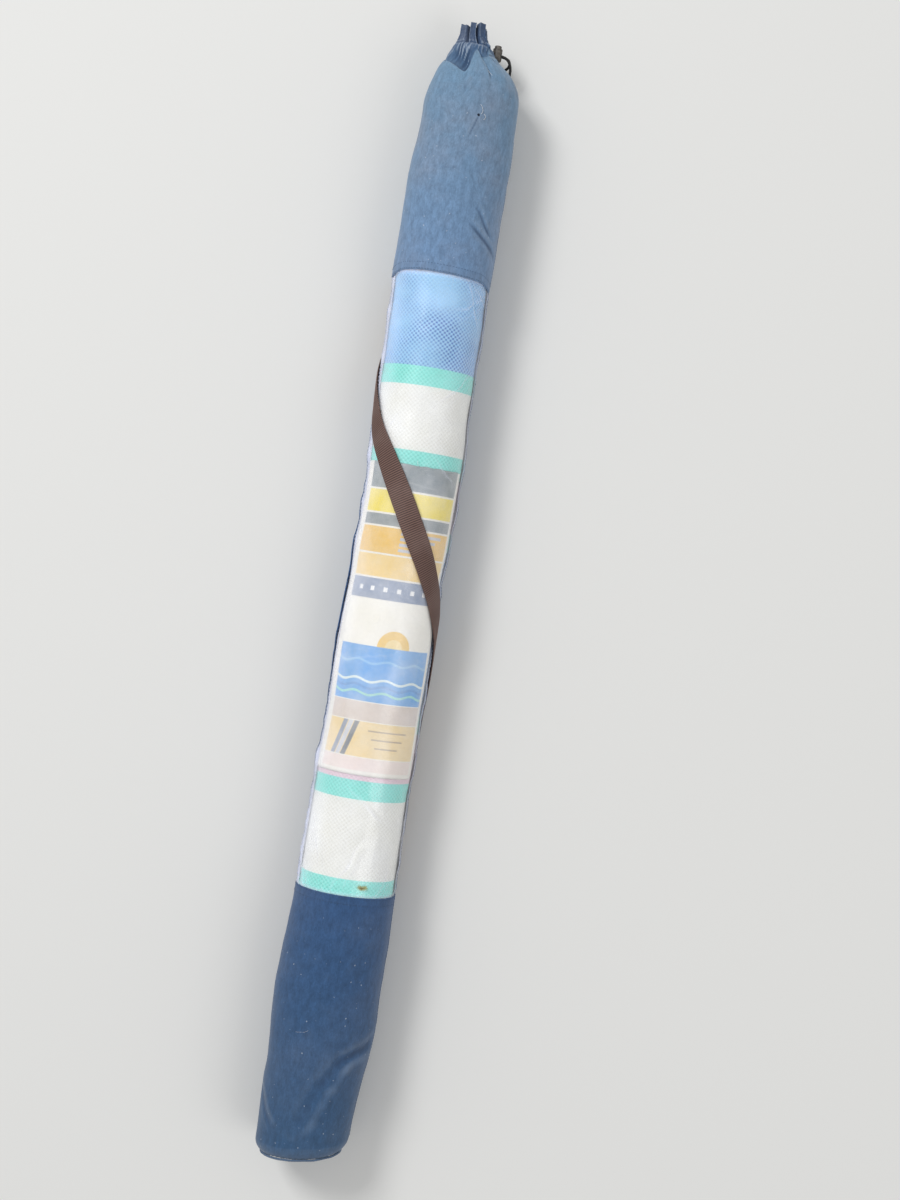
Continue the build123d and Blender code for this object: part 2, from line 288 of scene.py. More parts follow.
def attach(piece, slot, *nodes):
    """Fixes a piece to the bag, in place of the frame's nodes."""
    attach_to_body(piece, "root")
    if nodes:
        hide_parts(*nodes)


def woven_polythene_tape():
    """Woven polythene tape: 2.4 mm tapes that go over and under, with painted shade where they dip, and a
    soft shine.
    Past a slanted line, and in soft patches, the painted shade in the dips is deeper."""
    material, tree = new_finish("woven_polythene_tape")
    tape = 2.4
    deeper_shade_way = (0.557, -0.83, 0.0)
    deeper_shade_line = (-258 * mm, -238 * mm)
    flat = add(tree, "UVMap", {"uv_map": "cut"}, {})
    way = add(tree, "SeparateXYZ", {}, {"Vector": flat})
    edges = (stripe_edges[0] * mm, stripe_edges[-1] * mm)
    share = add(tree, "MapRange", {}, {"Value": way.outputs["Y"], "From": edges})
    length = stripe_edges[-1] - stripe_edges[0]
    stops = [((edge - stripe_edges[0]) / length, dye) for edge, dye in zip(stripe_edges, stripe_dyes)]
    stripe = add(tree, "ValToRGB", {"stops": stops, "steps": "CONSTANT"}, {"Fac": share})
    dip_shade_stops = [(position, dip_shade_colours[dye]) for position, dye in stops]
    under = add(tree, "ValToRGB", {"stops": dip_shade_stops, "steps": "CONSTANT"}, {"Fac": share})
    over = []
    for axis in ("X", "Y"):
        turn = add(tree, "Math", {"operation": "MULTIPLY"}, {0: way.outputs[axis], 1: math.pi * per(tape)})
        over.append(add(tree, "Math", {"operation": "SINE"}, {0: turn}))
    weave = add(tree, "Math", {"operation": "MULTIPLY"}, {0: over[0], 1: over[1]})
    patches = add(tree, "TexNoise", {}, {"Vector": flat, "Scale": per(50), "Detail": 2.0})
    place = add(tree, "TexCoord", {}, {}).outputs["Object"]
    past = add(tree, "VectorMath", {"operation": "DOT_PRODUCT"}, {0: place, 1: deeper_shade_way}).outputs["Value"]
    past = add(tree, "MapRange", {}, {"Value": past, "From": deeper_shade_line, "To": (-0.14, 0.1)})
    slack = add(tree, "Math", {"operation": "ADD"}, {0: patches, 1: past})
    slack = add(tree, "MapRange", {}, {"Value": slack, "From": (0.3, 0.68), "To": (0.1, 1.0)})
    # Painted shade: the stripe colour darkens towards its darker copy where the tapes dip, more past the
    # slanted line.
    painted_shade = add(tree, "MapRange", {}, {"Value": weave, "From": (0.3, -0.6)})
    painted_shade = add(tree, "Math", {"operation": "MULTIPLY"}, {0: painted_shade, 1: slack})
    colour = add(tree, "MixRGB", {}, {"Fac": painted_shade, "Color1": stripe, "Color2": under})
    soiled = add(tree, "TexNoise", {}, {"Vector": flat, "Scale": per(45.5), "Detail": 4.0, "Roughness": 0.6})
    grime = add(tree, "MapRange", {}, {"Value": soiled, "From": (0.3, 0.75), "To": (1.0, 0.91)})
    colour = add(tree, "VectorMath", {"operation": "SCALE"}, {0: colour, "Scale": grime})
    relief = add(tree, "Bump", {}, {"Height": weave, "Strength": 0.35, "Distance": 0.3 * mm})
    look = {"Base Color": colour, "Roughness": 0.42, "IOR": 1.5, "Normal": relief}
    add(tree, "OutputMaterial", {}, {"Surface": add(tree, "BsdfPrincipled", {}, look)})
    return material


film_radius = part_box("window")[1].z / mm - axis_height
film_sheet = 0.4
cloth_from = 143.0
cloth_to = 1203.0
cloth_turns = 14
cloth_edge_angle = 130.0
cloth_core_radius = 26.2
cloth_sheet = 0.6
cloth_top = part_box("windbreak_cloth")[1].z / mm
cloth_radius = (cloth_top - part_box("windbreak_cloth")[0].z / mm) / 2
cloth_centre = cloth_top - cloth_radius
cloth_pitch = (cloth_radius - cloth_core_radius - cloth_sheet) / cloth_turns
stripe_edges = [143, 381, 402, 474, 497, 554, 575, 758, 779, 832, 855, 939, 961, 1203]
blue, teal, cream, pink = "#a4d7fb", "#98f3e8", "#fafaf4", "#f4dbe5"
# Darker copies of the stripe colours, for the painted shade where the tapes dip.
dip_shade_colours = {blue: "#3d70bd", teal: "#7adccf", cream: "#ecebe2", pink: "#e6cad5"}
stripe_dyes = [blue, teal, cream, teal, pink, teal, blue, teal, pink, teal, cream, teal, blue, blue]


def by_line(distance, angle, start, end):
    """Where a place is by a line on the bag: its share of the way along, and how far off to the side."""
    across = bag_radius * math.radians((angle - start[1] + 180) % 360 - 180)
    run_down = end[0] - start[0]
    run_across = bag_radius * math.radians(end[1] - start[1])
    length = math.hypot(run_down, run_across)
    share = ((distance - start[0]) * run_down + across * run_across) / length**2
    return share, ((distance - start[0]) * run_across - across * run_down) / length


def crease(distance, angle, start, end, depth, width):
    """The change of radius made by a crease between two places, a furrow with a soft ridge beside it."""
    share, beside = by_line(distance, angle, start, end)
    if not -0.3 < share < 1.3:
        return 0.0
    fade = smooth_step(-0.3, 0.25, share) * (1 - smooth_step(0.75, 1.3, share))
    return depth * fade * (0.55 * hill(beside, 1.7 * width, width) - hill(beside, 0.0, width))


def all_creases(creases, distance, angle):
    """The change of radius made by a list of creases: each its start, end, depth and width."""
    return sum(crease(distance, angle, *each) for each in creases)


cloth_creases = [
    ((358, -50), (300, 62), 0.9, 5.0),
    ((420, 10), (470, 50), 0.4, 6.0),
    ((900, -60), (955, -20), 0.5, 6.0),
    ((870, 30), (930, 60), 0.4, 7.0),
]


def cloth_place(distance, turns):
    """A place on the rolled cloth, after this many turns from its inner edge."""
    angle = cloth_edge_angle - 360 * turns
    outermost = smooth_step(cloth_turns - 1.6, cloth_turns - 1.0, turns)
    share = turns / cloth_turns
    radius = cloth_core_radius + cloth_sheet + turns * cloth_pitch - (waist(distance) + 0.8) * share
    turn = math.radians(angle)
    x = radius * math.sin(turn) + lean(distance) * share**2
    height = cloth_centre + radius * math.cos(turn)
    if outermost > 0:
        off_top = abs((angle + 180) % 360 - 180)
        outermost *= 1 - smooth_step(96, 128, off_top)
        full = film_radius - 1.7 - waist(distance) - 2.6 * smooth_step(window_to + 4, 1010, distance)
        full += 0.5 * rough(distance / 46, angle / 24, 3.0) + 0.25 * rough(distance / 15, angle / 9, 8.0)
        full += all_creases(cloth_creases, distance, angle) - 0.3
        out_x, _, out_height = spot(distance, angle, full)
        x += outermost * (out_x - x)
        height += outermost * (out_height - height)
    return (x, tip_y - distance, height)


def cloth_cut(distance, turns):
    """The same place on the flat cloth."""
    return (2 * math.pi * turns * (cloth_core_radius + turns * cloth_pitch / 2), distance)


inner_turns = lay_grid(
    steps(cloth_from, cloth_to, 50), steps(cloth_turns - 1, 0, 1 / 40), cloth_place, cloth_cut
)
outer_turn = lay_grid(
    steps(cloth_from, cloth_to, 5), steps(cloth_turns, cloth_turns - 1, 1 / 150), cloth_place, cloth_cut
)
windbreak_cloth = make_piece("rolled_cloth", [inner_turns, outer_turn], cloth_sheet, woven_polythene_tape())
attach(windbreak_cloth, "striped_cloth", "windbreak_cloth")


# Printed card: a sheet of thin card slipped in behind the window, over the cloth.
# Its print is faded, and it has creased across where the bag has been folded.
def print_ink(tree, under, ink, across, down, middle, half):
    """Lays one patch of ink on what is under it: its middle and half size, in millimetres."""
    masks = []
    for measure, centre, reach in zip((across, down), middle, half):
        near = {0: measure, 1: centre * mm, 2: reach * mm}
        masks.append(add(tree, "Math", {"operation": "COMPARE"}, near))
    mask = add(tree, "Math", {"operation": "MULTIPLY"}, {0: masks[0], 1: masks[1]})
    return add(tree, "MixRGB", {}, {"Fac": mask, "Color1": under, "Color2": ink})


def faded_card_print():
    """Offset print on coated card: flat inks that the sun has faded, with pale cracks along the creases."""
    material, tree = new_finish("faded_card_print")
    flat = add(tree, "UVMap", {"uv_map": "cut"}, {})
    wobble = add(tree, "TexNoise", {}, {"Vector": flat, "Scale": per(6.25), "Detail": 2.0})
    way = add(tree, "SeparateXYZ", {}, {"Vector": flat})
    across, down = way.outputs["X"], way.outputs["Y"]
    colour = add(tree, "RGB", {}, {})
    colour.outputs[0].default_value = linear("#f4f1e8")
    bands = [
        ("#7d898e", 14, 14), ("#f7e250", 42, 12), ("#8f9799", 62, 6), ("#f2c65e", 84, 14),
        ("#f6d68a", 112, 12), ("#8a99b2", 137, 11), ("#fbf8ee", 174, 25), ("#68aeea", 229, 30),
        ("#dfd2c8", 270, 10), ("#f5dca6", 300, 19), ("#f2e3dc", 327, 7),
    ]
    for ink, middle, half in bands:
        colour = print_ink(tree, colour, ink, across, down, (4, middle), (60, half))
    for line in range(4):
        middle, half = (24 - 4 * line, 75 + 6 * line), (26 - 4 * line, 1.6)
        colour = print_ink(tree, colour, "#c9ccd4", across, down, middle, half)
    swell = add(tree, "Math", {"operation": "MULTIPLY"}, {0: across, 1: per(5.5)})
    swell = add(tree, "Math", {"operation": "SINE"}, {0: swell})
    swell = add(tree, "Math", {"operation": "MULTIPLY_ADD"}, {0: swell, 1: 1.8 * mm, 2: down})
    for middle, ink in ((216, "#8fc6f0"), (236, "#e6f4f2"), (243, "#5f9fdc"), (250, "#9fe0d8")):
        colour = print_ink(tree, colour, ink, across, swell, (4, middle), (60, 1.3))
    sun = (12 * mm, 199 * mm, 0.0)
    gap = add(tree, "VectorMath", {"operation": "DISTANCE"}, {0: flat, 1: sun}).outputs["Value"]
    above = add(tree, "Math", {"operation": "LESS_THAN"}, {0: down, 1: sun[1]})
    for reach, ink in ((19, "#f6cf6c"), (10, "#fbe3a4")):
        disc = add(tree, "Math", {"operation": "LESS_THAN"}, {0: gap, 1: reach * mm})
        mask = add(tree, "Math", {"operation": "MULTIPLY"}, {0: disc, 1: above})
        colour = add(tree, "MixRGB", {}, {"Fac": mask, "Color1": colour, "Color2": ink})
    slant = add(tree, "Math", {"operation": "MULTIPLY_ADD"}, {0: down, 1: 0.3, 2: across})
    for middle, ink in ((54, "#9aa3b4"), (61, "#d6d8de"), (68, "#83888f")):
        colour = print_ink(tree, colour, ink, slant, down, (middle, 300), (3.0, 19))
    for line in range(6):
        colour = print_ink(tree, colour, "#f6f6f4", across, down, (-40 + 16 * line, 137), (2.4, 2.4))
    for line in range(3):
        colour = print_ink(tree, colour, "#b9a58c", across, down, (22, 290 + 9 * line), (24 - 5 * line, 0.8))
    patchy = {"Vector": flat, "Scale": per(38.5), "Detail": 5.0, "Roughness": 0.65}
    bleach = add(tree, "TexNoise", {}, patchy)
    bleach = add(tree, "MapRange", {}, {"Value": bleach, "From": (0.35, 0.7), "To": (0.04, 0.34)})
    colour = add(tree, "MixRGB", {}, {"Fac": bleach, "Color1": colour, "Color2": "#faf8f2"})
    ridge = add(tree, "Attribute", {"attribute_name": "ridge"}, {}).outputs["Fac"]
    crack = add(tree, "MapRange", {}, {"Value": ridge, "From": (0.12, 0.5), "To": (0.0, 0.6)})
    colour = add(tree, "MixRGB", {}, {"Fac": crack, "Color1": colour, "Color2": "#fdfdfb"})
    relief = add(tree, "Bump", {}, {"Height": wobble, "Strength": 0.2, "Distance": 0.4 * mm})
    card = add(tree, "BsdfPrincipled", {}, {"Base Color": colour, "Roughness": 0.38, "Normal": relief})
    add(tree, "OutputMaterial", {}, {"Surface": card})
    return material


card_low, card_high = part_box("card_insert")
card_from = tip_y - card_high.y / mm
card_to = tip_y - card_low.y / mm
card_half_angle = 75.0
card_sheet = 0.4
card_creases = [
    ((512, -30), (518, 34), 0.9, 2.2),
    ((566, -70), (548, 10), 0.5, 3.0),
    ((612, -40), (640, 60), 0.5, 3.0),
    ((705, -60), (690, 20), 0.6, 2.5),
    ((768, -20), (780, 62), 0.7, 2.4),
]


def card_place(row, angle):
    """A place on the card, whose ends aren't quite straight."""
    distance = row + 0.8 * rough(angle / 9, row / 200, 5.0) * hill(row, card_from, 14)
    radius = film_radius - film_sheet - 0.5 - waist(distance)
    radius += 0.25 * rough(distance / 30, angle / 18, 11.0)
    radius += sum(min(0.0, 0.5 * crease(distance, angle, *each)) for each in card_creases)
    return spot(distance, angle, radius)


def card_cut(row, angle):
    """The same place on the flat card, whose rows start at its own edge."""
    return (bag_radius * math.radians(angle), row - card_from)


card_columns = steps(-card_half_angle, card_half_angle, 1.8)
card_grid = lay_grid(steps(card_from, card_to, 2.5), card_columns, card_place, card_cut)
card_insert = make_piece("printed_card", [card_grid], card_sheet, faded_card_print())
attach(card_insert, "printed_card", "card_insert")


# Window: a sheet of clear soft PVC, sewn in all round with its edges turned under.
# It has gone a little milky, and buckles where it is gathered into the seams.
def clear_soft_pvc():
    """Clear PVC film: see-through and glossy, with a milky bloom, fine buckles that catch the light, a haze
    where it has rubbed by its seams, a painted reflection as a milky strip down its left side, and a small
    brown stain."""
    material, tree = new_finish("clear_soft_pvc")
    flat = add(tree, "UVMap", {"uv_map": "cut"}, {})
    stretched = add(tree, "Mapping", {}, {"Vector": flat, "Scale": (1.0, 0.45, 1.0)})
    wavy = {"Vector": stretched, "Scale": per(10.5), "Detail": 4.0, "Distortion": 1.1}
    buckles = add(tree, "TexNoise", {}, wavy)
    creased = {"Vector": flat, "Scale": per(23.8), "Detail": 3.0}
    folds = add(tree, "TexNoise", {"noise_type": "RIDGED_MULTIFRACTAL"}, creased)
    height = add(tree, "Math", {"operation": "MULTIPLY_ADD"}, {0: folds, 1: 0.35, 2: buckles})
    relief = add(tree, "Bump", {}, {"Height": height, "Strength": 0.5, "Distance": 1.1 * mm})
    cloud = add(tree, "TexNoise", {}, {"Vector": flat, "Scale": per(66.7), "Detail": 5.0, "Roughness": 0.6})
    milk = add(tree, "MapRange", {}, {"Value": cloud, "From": (0.36, 0.7), "To": (0.03, 0.2)})
    clear = add(tree, "BsdfTransparent", {}, {"Color": "#ffffff"})
    bloom = add(tree, "BsdfDiffuse", {}, {"Color": "#f4f6ff", "Normal": relief})
    through = add(tree, "BsdfTranslucent", {}, {"Color": "#f4f6ff", "Normal": relief})
    bloom = add(tree, "MixShader", {}, {0: 0.5, 1: bloom, 2: through})
    ridge = add(tree, "Attribute", {"attribute_name": "ridge"}, {}).outputs["Fac"]
    whitened = add(tree, "MapRange", {}, {"Value": ridge, "From": (0.12, 0.7), "To Max": 0.22})
    milk = add(tree, "Math", {"operation": "ADD"}, {0: milk, 1: whitened})
    way = add(tree, "SeparateXYZ", {}, {"Vector": flat})
    middle, half = (window_from + window_to) / 2 * mm, (window_to - window_from) / 2
    to_middle = add(tree, "Math", {"operation": "SUBTRACT"}, {0: way.outputs["Y"], 1: middle})
    to_middle = add(tree, "Math", {"operation": "ABSOLUTE"}, {0: to_middle})
    # Milk near the window's end seams, from rubbing, and a painted reflection as a milky strip down the left
    # side.
    seam_haze_and_painted_glare = ((to_middle, half - 4.5, half - 1, 0.3), (way.outputs["X"], -36, -66, 0.2))
    for measure, low, high, most in seam_haze_and_painted_glare:
        haze = add(tree, "MapRange", {}, {"Value": measure, "From": (low * mm, high * mm), "To Max": most})
        milk = add(tree, "Math", {"operation": "ADD"}, {0: milk, 1: haze})
    gloss = add(tree, "BsdfGlossy", {}, {"Roughness": 0.16, "Normal": relief})
    shadow = add(tree, "LightPath", {}, {}).outputs["Is Shadow Ray"]
    milk = add(tree, "MixRGB", {}, {"Fac": shadow, "Color1": milk, "Color2": "#000000"})
    film = add(tree, "MixShader", {}, {0: milk, 1: clear, 2: bloom})
    smear = (6 * mm,) * 3
    smeared = {0: buckles.outputs["Color"], 1: smear, 2: flat}
    smeared = add(tree, "VectorMath", {"operation": "MULTIPLY_ADD"}, smeared)
    for colour, across, reach in (("#a9a54f", 23.5, 7.0), ("#5b3a20", 22.5, 3.0)):
        middle = (across * mm, 952 * mm, 0.0)
        off = add(tree, "VectorMath", {"operation": "SUBTRACT"}, {0: smeared, 1: middle})
        off = add(tree, "VectorMath", {"operation": "MULTIPLY"}, {0: off, 1: (1.0, 2.2, 0.0)})
        off = add(tree, "VectorMath", {"operation": "LENGTH"}, {0: off}).outputs["Value"]
        edge = (reach * mm, reach / 2 * mm)
        stain = add(tree, "MapRange", {}, {"Value": off, "From": edge, "To Max": 0.6})
        stained = add(tree, "BsdfDiffuse", {}, {"Color": colour})
        film = add(tree, "MixShader", {}, {0: stain, 1: film, 2: stained})
    facing = add(tree, "LayerWeight", {}, {"Blend": 0.5, "Normal": relief}).outputs["Facing"]
    facing = add(tree, "Math", {"operation": "POWER"}, {0: facing, 1: 5.0})
    shine = add(tree, "MapRange", {}, {"Value": facing, "To": (0.035, 0.6)})
    shine = add(tree, "MixRGB", {}, {"Fac": shadow, "Color1": shine, "Color2": "#000000"})
    skin = add(tree, "MixShader", {}, {0: shine, 1: film, 2: gloss})
    add(tree, "OutputMaterial", {}, {"Surface": skin})
    return material


window_reach = 95.0
seam_allowance = 10.0
# How thick the canvas of the bag is, with its coating.
fabric = 0.8


def wound_cut(distance, angle):
    """The flat cut of what lies round the bag: the arc from the top, and the distance along it."""
    return (bag_radius * math.radians(angle), distance)


def to_seam(distance):
    """How far it is to the nearer end seam of the window, in millimetres."""
    return min(distance - window_from, window_to - distance)


def buckle(distance, angle):
    """How far the window's film stands in or out of its smooth round, in millimetres."""
    seam = to_seam(distance)
    soft = 0.55 * rough(distance / 55, angle / 26, 21.0) + 0.3 * rough(distance / 17, angle / 11, 22.0)
    gathers = 0.7 * math.exp(-max(seam, 0.0) / 16) * rough(distance / 60, angle / 3.4, 23.0)
    return soft * smooth_step(-2, 26, seam) + gathers * smooth_step(-4, 3, seam)


# The distances at which the strap crosses the window's left (-1) and right (1) edge.
strap_crossings = {-1: 413.0, 1: 673.0}


def ride_up(distance):
    """1 where the panel's left edge rides up most over the film, and 0 well away from there."""
    return hill(distance, 650, 110)


def edge_stand(distance, angle):
    """How far the puckered seam along the window's edge stands out. Where the strap crosses it lies flat."""
    side = 1 if angle > 0 else -1
    stand = 1.0 + 1.7 * rough(distance / 26, 0.0, 25.0 + side) + 0.9 * rough(distance / 10, 0.0, 28.0 + side)
    if side < 0:
        stand -= 2.4 * ride_up(distance)
    stand *= 1 - hill(distance, strap_crossings[side], 32)
    return stand * smooth_step(-2, 9, to_seam(distance)) * smooth_step(74, 88, abs(angle))


def film_surface(distance, angle):
    """The outside radius of the film, with its buckles and its puckered edges."""
    return film_radius - waist(distance) + buckle(distance, angle) + edge_stand(distance, angle)


def panel_edge(distance, side):
    """The angle of the back panel's edge, on the left (-1) or the right (1)."""
    return 91.5 - (13.0 * ride_up(distance) if side < 0 else 0.0)


def tuck(distance, angle):
    """How far the film and its binding lie in under the panel's edge, in millimetres."""
    edge = panel_edge(distance, angle)
    return (fabric + 0.15) * smooth_step(edge - 3, edge, abs(angle))


film_creases = [
    ((286, 40), (324, 60), 1.0, 2.4),
    ((300, 74), (322, 30), 0.9, 2.4),
    ((291, 56), (304, 82), 0.7, 2.0),
    ((388, 62), (420, 28), 0.7, 2.4),
    ((478, 30), (506, 66), 0.6, 2.6),
    ((430, -20), (500, -58), 0.5, 4.0),
    ((842, -10), (872, 34), 0.6, 2.8),
    ((900, 20), (965, -14), 0.7, 3.0),
    ((905, -40), (966, -30), 0.6, 2.6),
    ((925, 60), (966, 40), 0.7, 2.6),
    ((926, -76), (966, -44), 0.8, 2.2),
    ((936, -86), (966, -60), 0.7, 2.0),
]


def film_crumple(distance, angle):
    """The creases of the film, which wander a little from their straight lines."""
    off = distance + 7 * rough(distance / 24, angle / 22, 26.0)
    turned = angle + 7 * rough(distance / 24, angle / 22, 27.0)
    return all_creases(film_creases, off, turned)


def film_place(distance, angle):
    """A place on the window's film."""
    radius = film_surface(distance, angle) + film_crumple(distance, angle) - tuck(distance, angle)
    return spot(distance, angle, radius, floor=1.0)


film_rows = steps(window_from - seam_allowance, window_to + seam_allowance, 2.3)
film_grid = lay_grid(film_rows, steps(-window_reach, window_reach, 1.6), film_place, wound_cut)
window = make_piece("window_film", [film_grid], film_sheet, clear_soft_pvc())
attach(window, "clear_sheet", "window")


# Bindings: a strip of pale tape behind each long edge of the window, for the stitches to hold in.
# The tape is soft PVC too, lilac white, and shows through the film as a paler edge.
def pale_tape():
    """Calendered PVC tape: smooth and lightly glossy, with a faint lilac cloudiness."""
    material, tree = new_finish("pale_tape")
    flat = add(tree, "UVMap", {"uv_map": "cut"}, {})
    cloud = add(tree, "TexNoise", {}, {"Vector": flat, "Scale": per(16.7), "Detail": 3.0})
    tone = add(tree, "ValToRGB", {"stops": [(0.3, "#bfc8e2"), (0.7, "#e0e4f2")]}, {"Fac": cloud})
    relief = add(tree, "Bump", {}, {"Height": cloud, "Strength": 0.3, "Distance": 0.6 * mm})
    tape = add(tree, "BsdfPrincipled", {}, {"Base Color": tone, "Roughness": 0.3, "Normal": relief})
    add(tree, "OutputMaterial", {}, {"Surface": tape})
    return material


binding_finish = pale_tape()
binding_sheet = 0.3
binding_inner = {-1: 73.0, 1: 84.0}


def binding_place(distance, angle):
    """A place on a binding, just behind the film."""
    radius = film_surface(distance, angle) - film_sheet - 0.15 - tuck(distance, angle)
    return spot(distance, angle, radius, floor=1.0)


for side, node in ((-1, "window_binding_left"), (1, "window_binding_right")):
    columns = sorted((side * binding_inner[side], side * window_reach))
    binding_grid = lay_grid(steps(window_from, window_to, 4), steps(*columns, 2), binding_place, wound_cut)
    attach(make_piece(node + "_tape", [binding_grid], binding_sheet, binding_finish), "binding_sheet", node)


# Back panel: navy polyester canvas, which closes the tube from one edge of the window to the other.
# Its long edges are turned under once and sewn down through the window and its binding.
def navy_canvas_fading_and_painted_shade():
    """Coated polyester canvas: a matt plain weave, paler towards the neck, partly from sun fading and partly
    as painted light, and darker in the ruffle and towards the base, partly as painted shade. It is paler
    where it is rubbed, with painted shade darkening its folds, and has a few pale specks. Its threads are
    0.4 mm apart, too fine to show, so the grain is drawn at about 1.5 mm."""
    material, tree = new_finish("navy_canvas_fading_and_painted_shade")
    flat = add(tree, "UVMap", {"uv_map": "cut"}, {})
    way = add(tree, "SeparateXYZ", {}, {"Vector": flat})
    share = add(tree, "MapRange", {}, {"Value": way.outputs["Y"], "From": (-60 * mm, bag_length * mm)})
    # Tone along the bag: paler on the shoulder from sun fading with painted light, darker in the ruffle and
    # towards the base with painted shade.
    fade_and_painted_shade = [
        (0.0, "#364c6c"), (0.024, "#3a5274"), (0.046, "#4b6889"), (0.057, "#6d8eab"), (0.14, "#6d8ba9"),
        (0.24, "#6f8db1"), (0.47, "#496b97"), (0.78, "#35557f"), (1.0, "#355577"),
    ]
    colour = add(tree, "ValToRGB", {"stops": fade_and_painted_shade}, {"Fac": share})
    place = add(tree, "TexCoord", {}, {}).outputs["Object"]
    broad = {"Vector": place, "Scale": per(76.9), "Detail": 4.0, "Roughness": 0.6}
    patches = add(tree, "TexNoise", {}, broad)
    chalky = add(tree, "MapRange", {}, {"Value": patches, "From": (0.42, 0.7)})
    chalk = add(tree, "MapRange", {}, {"Value": share, "From": (0.1, 0.7), "To": (0.5, 0.07)})
    chalky = add(tree, "Math", {"operation": "MULTIPLY"}, {0: chalky, 1: chalk})
    colour = add(tree, "MixRGB", {}, {"Fac": chalky, "Color1": colour, "Color2": "#8d92a2"})
    brushed = add(tree, "Mapping", {}, {"Vector": flat, "Scale": (per(5.88), per(13.3), 1.0)})
    mottle = add(tree, "TexNoise", {}, {"Vector": brushed, "Scale": 1.0, "Detail": 6.0, "Roughness": 0.72})
    mottle = add(tree, "MapRange", {}, {"Value": mottle, "From": (0.32, 0.68), "To": (0.78, 1.22)})
    colour = add(tree, "VectorMath", {"operation": "SCALE"}, {0: colour, "Scale": mottle})
    thread = add(tree, "Mapping", {}, {"Vector": flat, "Scale": (per(1.56), per(3.03), 1.0)})
    slubs = add(tree, "TexNoise", {}, {"Vector": thread, "Scale": 1.0, "Detail": 3.0, "Roughness": 0.7})
    grain = add(tree, "MapRange", {}, {"Value": slubs, "From": (0.3, 0.7), "To": (0.86, 1.13)})
    colour = add(tree, "VectorMath", {"operation": "SCALE"}, {0: colour, "Scale": grain})
    ridge = add(tree, "Attribute", {"attribute_name": "ridge"}, {}).outputs["Fac"]
    most = add(tree, "MapRange", {}, {"Value": share, "From": (0.057, 0.045), "To": (0.2, 0.65)})
    rubbed = add(tree, "MapRange", {}, {"Value": ridge, "From": (0.08, 0.6), "To Max": most})
    colour = add(tree, "MixRGB", {}, {"Fac": rubbed, "Color1": colour, "Color2": "#a7b6c8"})
    # Painted shade: darker where the canvas sinks into a fold.
    painted_shade = add(tree, "MapRange", {}, {"Value": ridge, "From": (-0.05, -0.6), "To Max": 0.6})
    colour = add(tree, "MixRGB", {}, {"Fac": painted_shade, "Color1": colour, "Color2": "#2c4262"})
    ragged = add(tree, "TexNoise", {}, {"Vector": flat, "Scale": per(1.11), "Detail": 1.0}).outputs["Color"]
    ragged = add(tree, "VectorMath", {"operation": "SCALE"}, {0: ragged, "Scale": 2.2 * mm})
    ragged = add(tree, "VectorMath", {}, {0: ragged, 1: flat})
    cells = add(tree, "TexVoronoi", {"voronoi_dimensions": "2D"}, {"Vector": ragged, "Scale": per(13.5)})
    chance = add(tree, "SeparateXYZ", {}, {"Vector": cells.outputs["Color"]})
    size = add(tree, "MapRange", {}, {"Value": chance, "From": (0.5, 1.0), "To Max": 0.052})
    speck = add(tree, "Math", {"operation": "LESS_THAN"}, {0: cells.outputs["Distance"], 1: size})
    speck = add(tree, "Math", {"operation": "MULTIPLY"}, {0: speck, 1: 0.4})
    colour = add(tree, "MixRGB", {}, {"Fac": speck, "Color1": colour, "Color2": "#d5dce6"})
    relief = add(tree, "Bump", {}, {"Height": slubs, "Strength": 0.5, "Distance": 0.4 * mm})
    look = {"Base Color": colour, "Roughness": 0.82, "Specular IOR Level": 0.3, "Normal": relief}
    look.update({"Sheen Weight": 0.2, "Sheen Roughness": 0.5})
    add(tree, "OutputMaterial", {}, {"Surface": add(tree, "BsdfPrincipled", {}, look)})
    return material


canvas = navy_canvas_fading_and_painted_shade()


def round_rough(distance, angle, size, seed):
    """Smooth noise that closes on itself round the bag, with hollows of about this size."""
    turn = math.radians(angle)
    across = bag_radius / size
    return noise.noise(Vector((distance / size + seed, across * math.sin(turn), across * math.cos(turn))))


sleeve_creases = [
    ((251, 74), (226, 26), 1.0, 3.5),
    ((229, 54), (208, 29), 0.8, 3.0),
    ((178, -62), (198, -30), 0.6, 6.0),
    ((142, 40), (173, 22), 0.5, 6.0),
    ((1139, 30), (1123, 78), 2.3, 7.5),
    ((1169, 11), (1139, 30), 2.7, 8.5),
    ((1214, -7), (1169, 11), 2.6, 9.0),
    ((1216, -46), (1185, -82), 1.0, 5.0),
    ((1150, -10), (1100, 3), 0.6, 9.0),
    ((1012, 60), (1054, 30), 0.5, 9.0),
    ((1070, 150), (1010, 190), 1.4, 6.0),
    ((1150, -130), (1196, -160), 1.6, 7.0),
]


def bag_surface(distance, angle):
    """The outside radius of the bag's canvas, with its soft hollows, creases and turned hems."""
    slack = 1 - 0.7 * hill(distance, window_from, 16) - 0.7 * hill(distance, window_to, 16)
    hollows = 1.3 * round_rough(distance, angle, 62, 31.0) + 0.5 * round_rough(distance, angle, 21, 47.0)
    off = distance + 5 * round_rough(distance, angle, 34, 51.0)
    hemmed = smooth_step(window_from - 10.5, window_from - 8.5, distance)
    hemmed -= smooth_step(window_to + 8.5, window_to + 10.5, distance)
    radius = bag_radius - waist(distance) - 0.5 + slack * hollows
    return radius + all_creases(sleeve_creases, off, angle) + 0.12 * hemmed


def panel_angle(distance, share):
    """The angle at a share of the way round the panel, from its right edge."""
    start = panel_edge(distance, 1)
    return start + (360 - panel_edge(distance, -1) - start) * share


